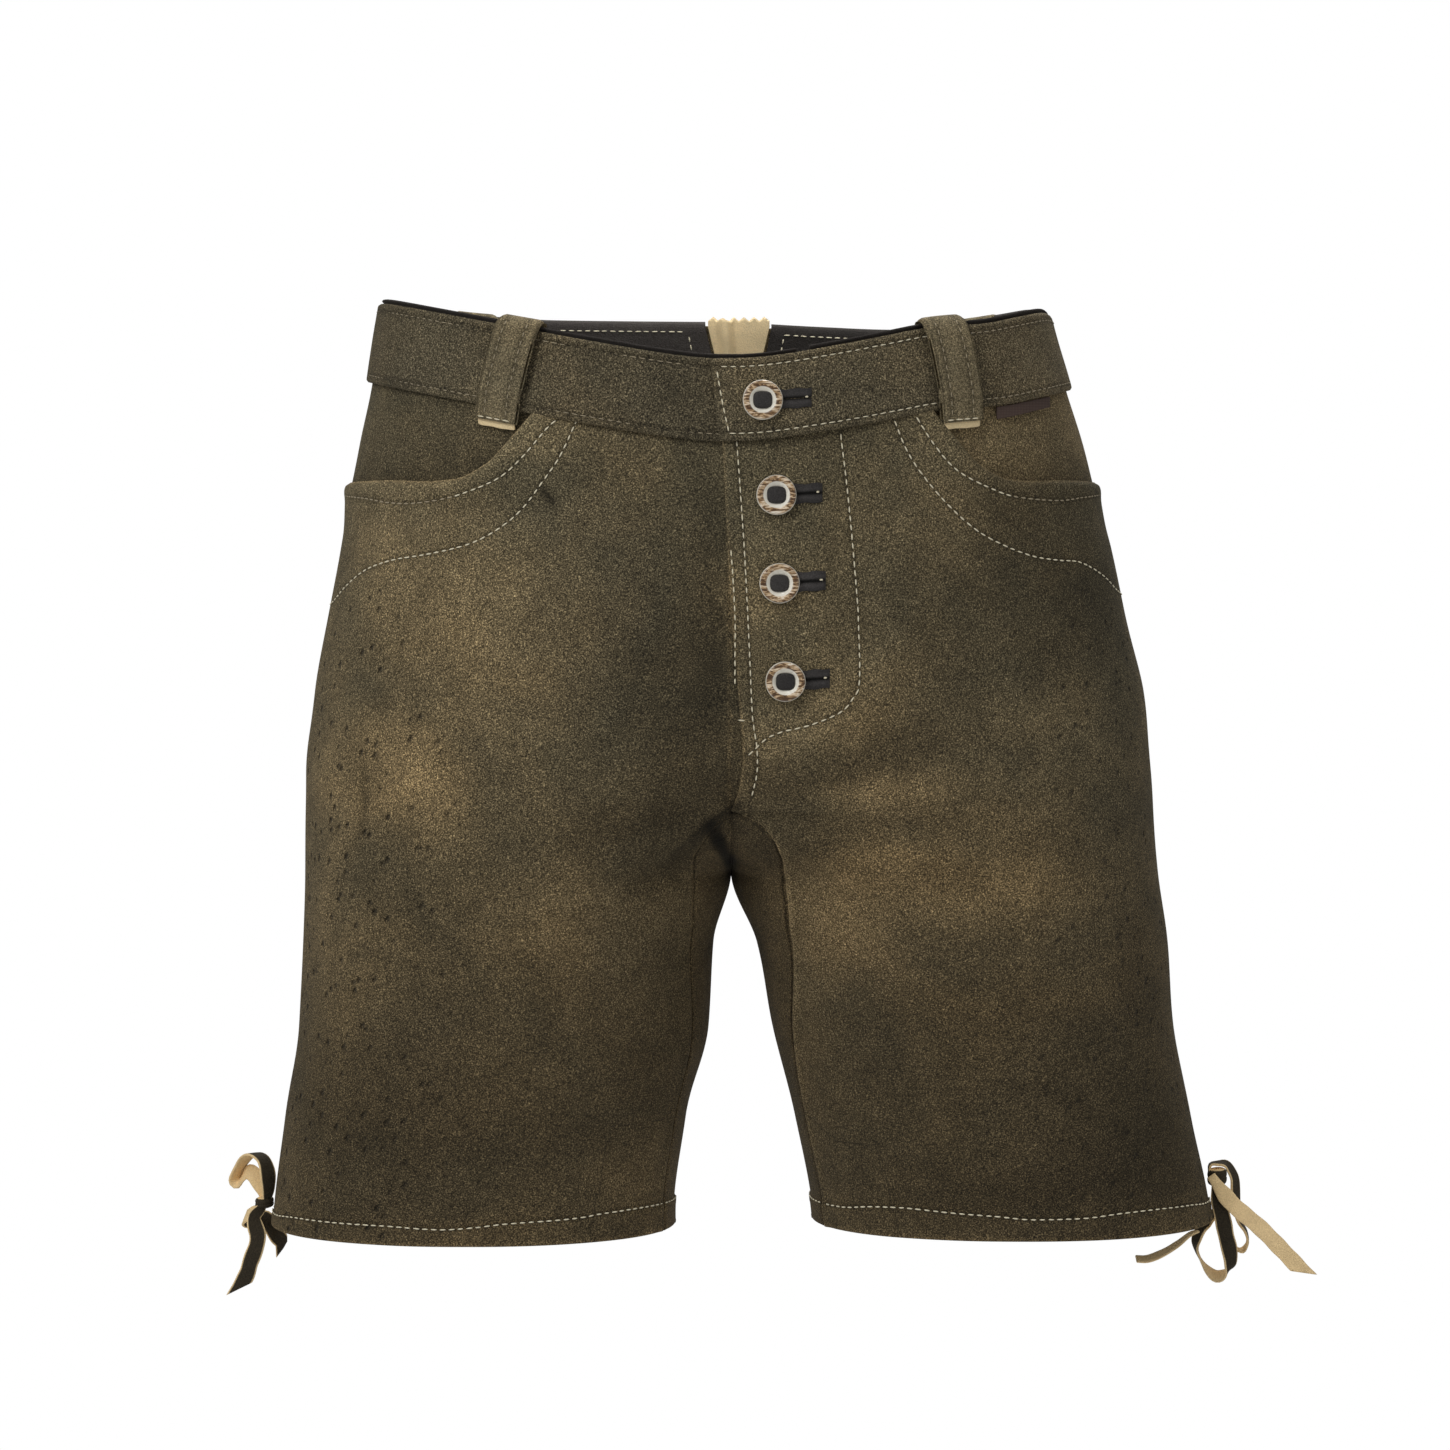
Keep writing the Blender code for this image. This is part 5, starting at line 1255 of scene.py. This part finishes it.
# A knot's height, how far out its middle is, and its half width and half height.
KNOTS = {LEFT: (-387.6, 5, 4.6, 2.6), RIGHT: (-375.1, 6.4, 4.9, 4.2)}
THONGS = (
    # name, half, cut, route
    ("thong_left_loop", LEFT, 0, (
        (-0.9, -1.2, 0.4, 0.85, -0.5, 0), (-1.7, -2.5, 2.9, 0.85, -0.5, 0), (-2.4, -5, 7.7, 0.85, -0.5, 0),
        (-2.2, -6.5, 15.5, 0.85, -0.5, 0), (-0.2, -4, 21, 0.8, -0.6, 0), (4.1, 1, 23.2, 0.8, -0.6, 0),
        (8.5, 6, 21.5, 0.8, -0.6, 0), (12.8, 10, 15.6, 0.75, -0.6, -0.2), (15.2, 11, 9.9, 0.6, -0.6, -0.5),
        (13.2, 10, 7.8, 0.4, -0.5, -0.7), (8.9, 8, 13.4, 0.3, -0.4, -0.85), (5.1, 5, 12, 0.5, -0.3, -0.75),
        (2.2, 3, 6.8, 0.7, -0.2, -0.6), (0.7, 2.2, 3.4, 0.8, 0, -0.4), (0.2, 1.2, 0.8, 0.8, 0, -0.4))),
    ("thong_left_tail", LEFT, -11.5, (
        (0.6, -1.6, 0, -1, 0.3, 0), (1.7, -3, -2.9, -1, 0.3, 0), (4.6, -4.5, -6.3, -1, 0.4, 0.1),
        (4.1, -5.5, -10.6, -1, 0.2, 0), (2.8, -6, -15, -1, 0, 0), (3.5, -6.5, -20.5, -1, 0, 0),
        (6.3, -7, -28, -1, 0, -0.3), (8, -7, -33.8, -0.9, 0, -0.4), (11.8, -7, -41.1, -0.8, 0, -0.5))),
    ("thong_left_end", LEFT, -9, (
        (1.2, 1, -1.4, -0.5, 0, 0.87), (4, 2, -4.2, -0.5, 0, 0.87), (7.6, 4, -6.4, -0.45, 0.2, 0.88),
        (10.1, 8, -9, -0.35, 0.1, 0.93), (8.5, 12.5, -11.2, -0.2, 0, 1), (4.1, 13, -11, -0.1, 0, 1),
        (0.7, 12, -10.1, -0.4, 0.1, 0.9), (-2.7, 10, -14.5, -0.7, 0.2, 0.7), (-5.6, 8, -18.4, -0.8, 0.2, 0.5),
        (-8, 7, -20.8, -0.9, 0.1, 0.2), (-8.5, 7, -23.7, -0.95, 0, -0.3))),
    ("thong_right_loop", RIGHT, 0, (
        (-0.4, -1.2, 0, 1, 0, 0), (-0.2, -3, -5.8, 1, 0, 0), (0.5, -6.5, -11.6, 1, 0, 0),
        (2.2, -8, -19.8, 1, 0, 0), (3.6, -8.5, -27.1, 1, 0, 0.1), (5.3, -9, -34.3, 0.95, 0.2, 0.1),
        (5.8, -9, -41.1, 0.8, 0.6, 0.15), (3.9, -8, -45.4, 0.4, 0.8, 0.5), (-0.5, -7, -47.6, 0, 0.8, 0.65),
        (-5.3, -6, -44, -0.1, 0.85, 0.5), (-8.7, -5.5, -38.7, -0.1, 0.95, 0.2), (-10.4, -5, -34.3, -0.1, 1, 0),
        (-10.1, -4, -30, -0.5, 0.9, 0), (-8.2, -2, -26.1, -0.5, 0.9, 0), (-4.3, 2, -23.4, -0.2, 1, 0),
        (0, 5.5, -18.4, -0.3, 0.95, 0), (1.4, 6, -12.6, -0.6, 0.7, 0), (0.7, 4, -6.8, -0.8, 0.5, 0),
        (0.3, 1.5, -1.5, -0.8, 0.5, 0))),
    ("thong_right_curl", RIGHT, 0, (
        (-3.6, 0.4, 1.2, 0, 1, 0), (-3.4, 1, 5.4, 0, 1, 0), (-0.2, 1.5, 6.1, 0.1, 1, 0.1),
        (4.8, 2.8, 5.2, 0.4, 0.9, 0.1), (8.6, 4.6, -0.6, 0.5, 0.85, 0.1), (9.6, 6, -7.7, 0.6, 0.8, 0.1),
        (10.2, 7, -15.5, 0.5, 0.85, 0), (11.6, 7, -22.7, 0.3, 0.95, 0), (14.7, 6, -28, 0.15, 1, 0),
        (15.5, 5, -32.9, 0.1, 1, 0), (12.8, 4, -36.7, 0, 1, 0.1), (9.7, 3, -35.8, -0.1, 1, 0.1))),
    ("thong_right_tail", RIGHT, -10.3, (
        (-3.6, -5.6, 1.4, -0.8, -0.1, -0.6), (2.9, -8.5, -7.7, -0.7, -0.1, -0.7), (8.5, -12, -13.5, -0.7, 0, -0.7),
        (19.3, -13.5, -22.5, -0.66, 0, -0.75), (30, -14, -33.3, -0.7, 0, -0.7), (40.6, -14, -44.5, -0.73, 0, -0.68))),
    ("thong_right_end", RIGHT, 0, (
        (-10.6, -12, -24.6, 0, 1, 0), (-14.5, -14, -25.9, 0, 1, 0.1), (-20.8, -16, -30.4, 0.1, 1, 0.2),
        (-27.5, -17, -34.3, 0.05, 1, 0.25), (-34.8, -17, -37.2, 0, 1, 0.25), (-40.6, -17, -37.2, 0, 1, 0.2))),
)
# The strap's section, from its edge over its outer face (above) and back by its inner one.
OUTER = np.array(((1, 0), (0.97, 0.62), (0.86, 0.94), (0.55, 1), (0, 1.04), (-0.55, 1), (-0.86, 0.94), (-0.97, 0.62),
                  (-1, 0)))
SECTION = np.concatenate((OUTER, -OUTER[1:]))


def knot_of(half):
    """The knot's middle, just off the side of the leg above the hem, and its half width and height."""
    height, out, half_width, half_height = KNOTS[half]
    return np.array((skin(half, 0.0, height)[0] + half * out, 0, height)), half_width, half_height


def thong(name, half, cut, route):
    """A flat strap along a route, two-toned, narrow where it leaves the knot. Gives its path and length too."""
    line = traced(np.array(route, float) * (half, 1, 1, half, 1, 1), 1.15)
    middle, across = line[:, :3] + knot_of(half)[0], line[:, 3:]
    run = run_of(middle)
    length, more = run[-1], abs(cut) / 2
    along = unit(np.gradient(middle, axis=0))
    across = unit(across - along * np.sum(across * along, axis=1, keepdims=True))
    thin = np.cross(along, across)
    stations = np.concatenate(([0.0], np.arange(0.4, length - 0.5 + more, 1.1), [length + more - 0.4, length + more]))
    u, v = SECTION.T
    at = np.minimum(stations[:, None], length + cut / 2 * u)
    held = np.minimum(at, length)
    near = np.minimum(held, length - held) if name.endswith("loop") else held
    wavy = 1 + 0.03 * np.sin(stations * 0.55 + half)[:, None]
    wide = u * wavy * THONG_WIDTH / 2 * (0.55 + 0.45 * smooth(near / 13.5))
    thick = np.tile(v * THONG_LEATHER / 2, (len(stations), 1))
    thick[[0, -1]] *= 0.12
    points = along_run(run, middle, held)
    for field, share in ((along, at - held), (across, wide), (thin, thick)):
        points += along_run(run, field, held) * share[..., None]
    r = len(stations) // 2
    meshes = [sheet_mesh(points, along_run(run, thin, stations[r]), {"side": v}, at=(r, 4))]
    for end, outward in ((0, -along[0]), (-1, along[-1])):
        cap = np.stack((points[end, :9], points[end, :7:-1]))
        meshes.append(sheet_mesh(cap, outward, {"side": -1.0}))
    made = piece(f"{name}_strap", meshes, thong_leather, [name])
    return made, middle * MM, length * MM


def knot(half):
    """The tied knot: strap wound round, with a dip between its turns."""
    start, half_width, half_height = knot_of(half)
    turn, share = np.linspace(0, 2 * math.pi, 41), np.linspace(-1, 1, 25)[:, None]
    size = (1 - np.abs(share) ** 4.2) ** (1 / 3)
    size = size * (1 - 0.07 * hump(share - 0.12 * np.sin(turn), 0.1) - 0.05 * np.cos(2 * turn + 1))
    wound = (half_width * size * np.cos(turn), 4.4 * size * np.sin(turn),
             half_height * share + 0.35 * np.sin(turn + 0.5))
    points = start + np.stack(wound, -1)
    points[:, -1] = points[:, 0]
    side = np.where(share > 0.9, 0.8 if half == LEFT else -0.2, 1.0)
    wrap = sheet_mesh(points, points[12, 10] - start, {"side": side}, at=(12, 10))
    name = f"thong_{SIDES[half]}_knot"
    return piece(f"{name}_wrap", [wrap], thong_leather, [name])


# ---- the trousers

thongs = {name: thong(name, half, cut, route) for name, half, cut, route in THONGS}
knots = {half: knot(half) for half in SIDES}
for half, side in SIDES.items():
    made, path, length = thongs[f"thong_{side}_loop"]

for half, side in SIDES.items():
    front_panel(half)
    back_panel(half)
    pocket_insert(half)
    band(half)
    facing(half)
back_gusset()
for name, face, top_x, foot_x in LOOPS:
    strap, cut_end = belt_loop(name, face, top_x, foot_x)
side_tag()
for number, (x, z, end) in enumerate(BUTTONS, 1):
    buttonhole(number, x, z, end)
    spot = facing_out(x, z, float(front_off(x, z)) + 1.5)
    button(number, spot)
    button_bar(number, spot)
for rows in (*FLY_ROWS, FLY_BAR, FLY_EDGE_ROW):
    sew(RIGHT, *front_row(RIGHT, rows, 0.24))
piece("stitching", stitch_meshes(False), thread)
piece("stitching_worn", stitch_meshes(True), worn_thread)

# ---- stage and light

WHITE = (1, 1, 1, 1)


def shown_white(tree, kind, lit, end):
    """Plain white to the camera. Everything else sees what is lit."""
    to_camera = wired(tree, "ShaderNodeLightPath")
    white = wired(tree, kind, {"Color": WHITE, "Strength": 1.0})
    both = wired(tree, "ShaderNodeMixShader", {0: to_camera, 1: lit, 2: white})
    tree.links.new(both, tree.nodes[end].inputs["Surface"])


matt = bpy.data.materials.new("pale_floor")
matt.use_nodes = True
shader = matt.node_tree.nodes["Principled BSDF"]
shader.inputs["Base Color"].default_value = (0.8, 0.8, 0.8, 1)
shader.inputs["Roughness"].default_value = 0.9
shown_white(matt.node_tree, "ShaderNodeEmission", shader.outputs[0], "Material Output")
ground = bmesh.new()
bmesh.ops.create_grid(ground, x_segments=1, y_segments=1, size=30)
bmesh.ops.translate(ground, verts=ground.verts, vec=(0, 0, -0.85))
ground = mesh_of(ground, "floor")
ground.materials.append(matt)
floor = bpy.data.objects.new("floor", ground)
scene.collection.objects.link(floor)

for name, spot, at, size, watts in (
    ("key", (-1.6, -2.0, 1.5), (0, 0, -0.15), 1.1, 29),
    ("top", (-0.5, -1.4, 2.3), (0, 0.02, -0.1), 0.8, 11),
    ("fill", (2.2, -1.8, 0.5), (0, 0, -0.2), 1.8, 6),
    ("back", (0.3, 2.0, 1.5), (0, 0, -0.15), 1.6, 22),
    ("waist", (0.04, -0.01, 0.32), (-0.01, 0.11, 0.02), 0.12, 0.62),
):
    lamp = bpy.data.lights.new(name, "AREA")
    lamp.size, lamp.energy = size, watts
    made = bpy.data.objects.new(name, lamp)
    made.location = spot
    made.visible_camera = False
    aim(made, at)
    scene.collection.objects.link(made)

world = bpy.data.worlds.new("pale_room")
world.use_nodes = True
ambient = world.node_tree.nodes["Background"]
ambient.inputs["Color"].default_value = WHITE
ambient.inputs["Strength"].default_value = 0.3
shown_white(world.node_tree, "ShaderNodeBackground", ambient.outputs[0], "World Output")
scene.world = world
scene.view_settings.view_transform = "Standard"
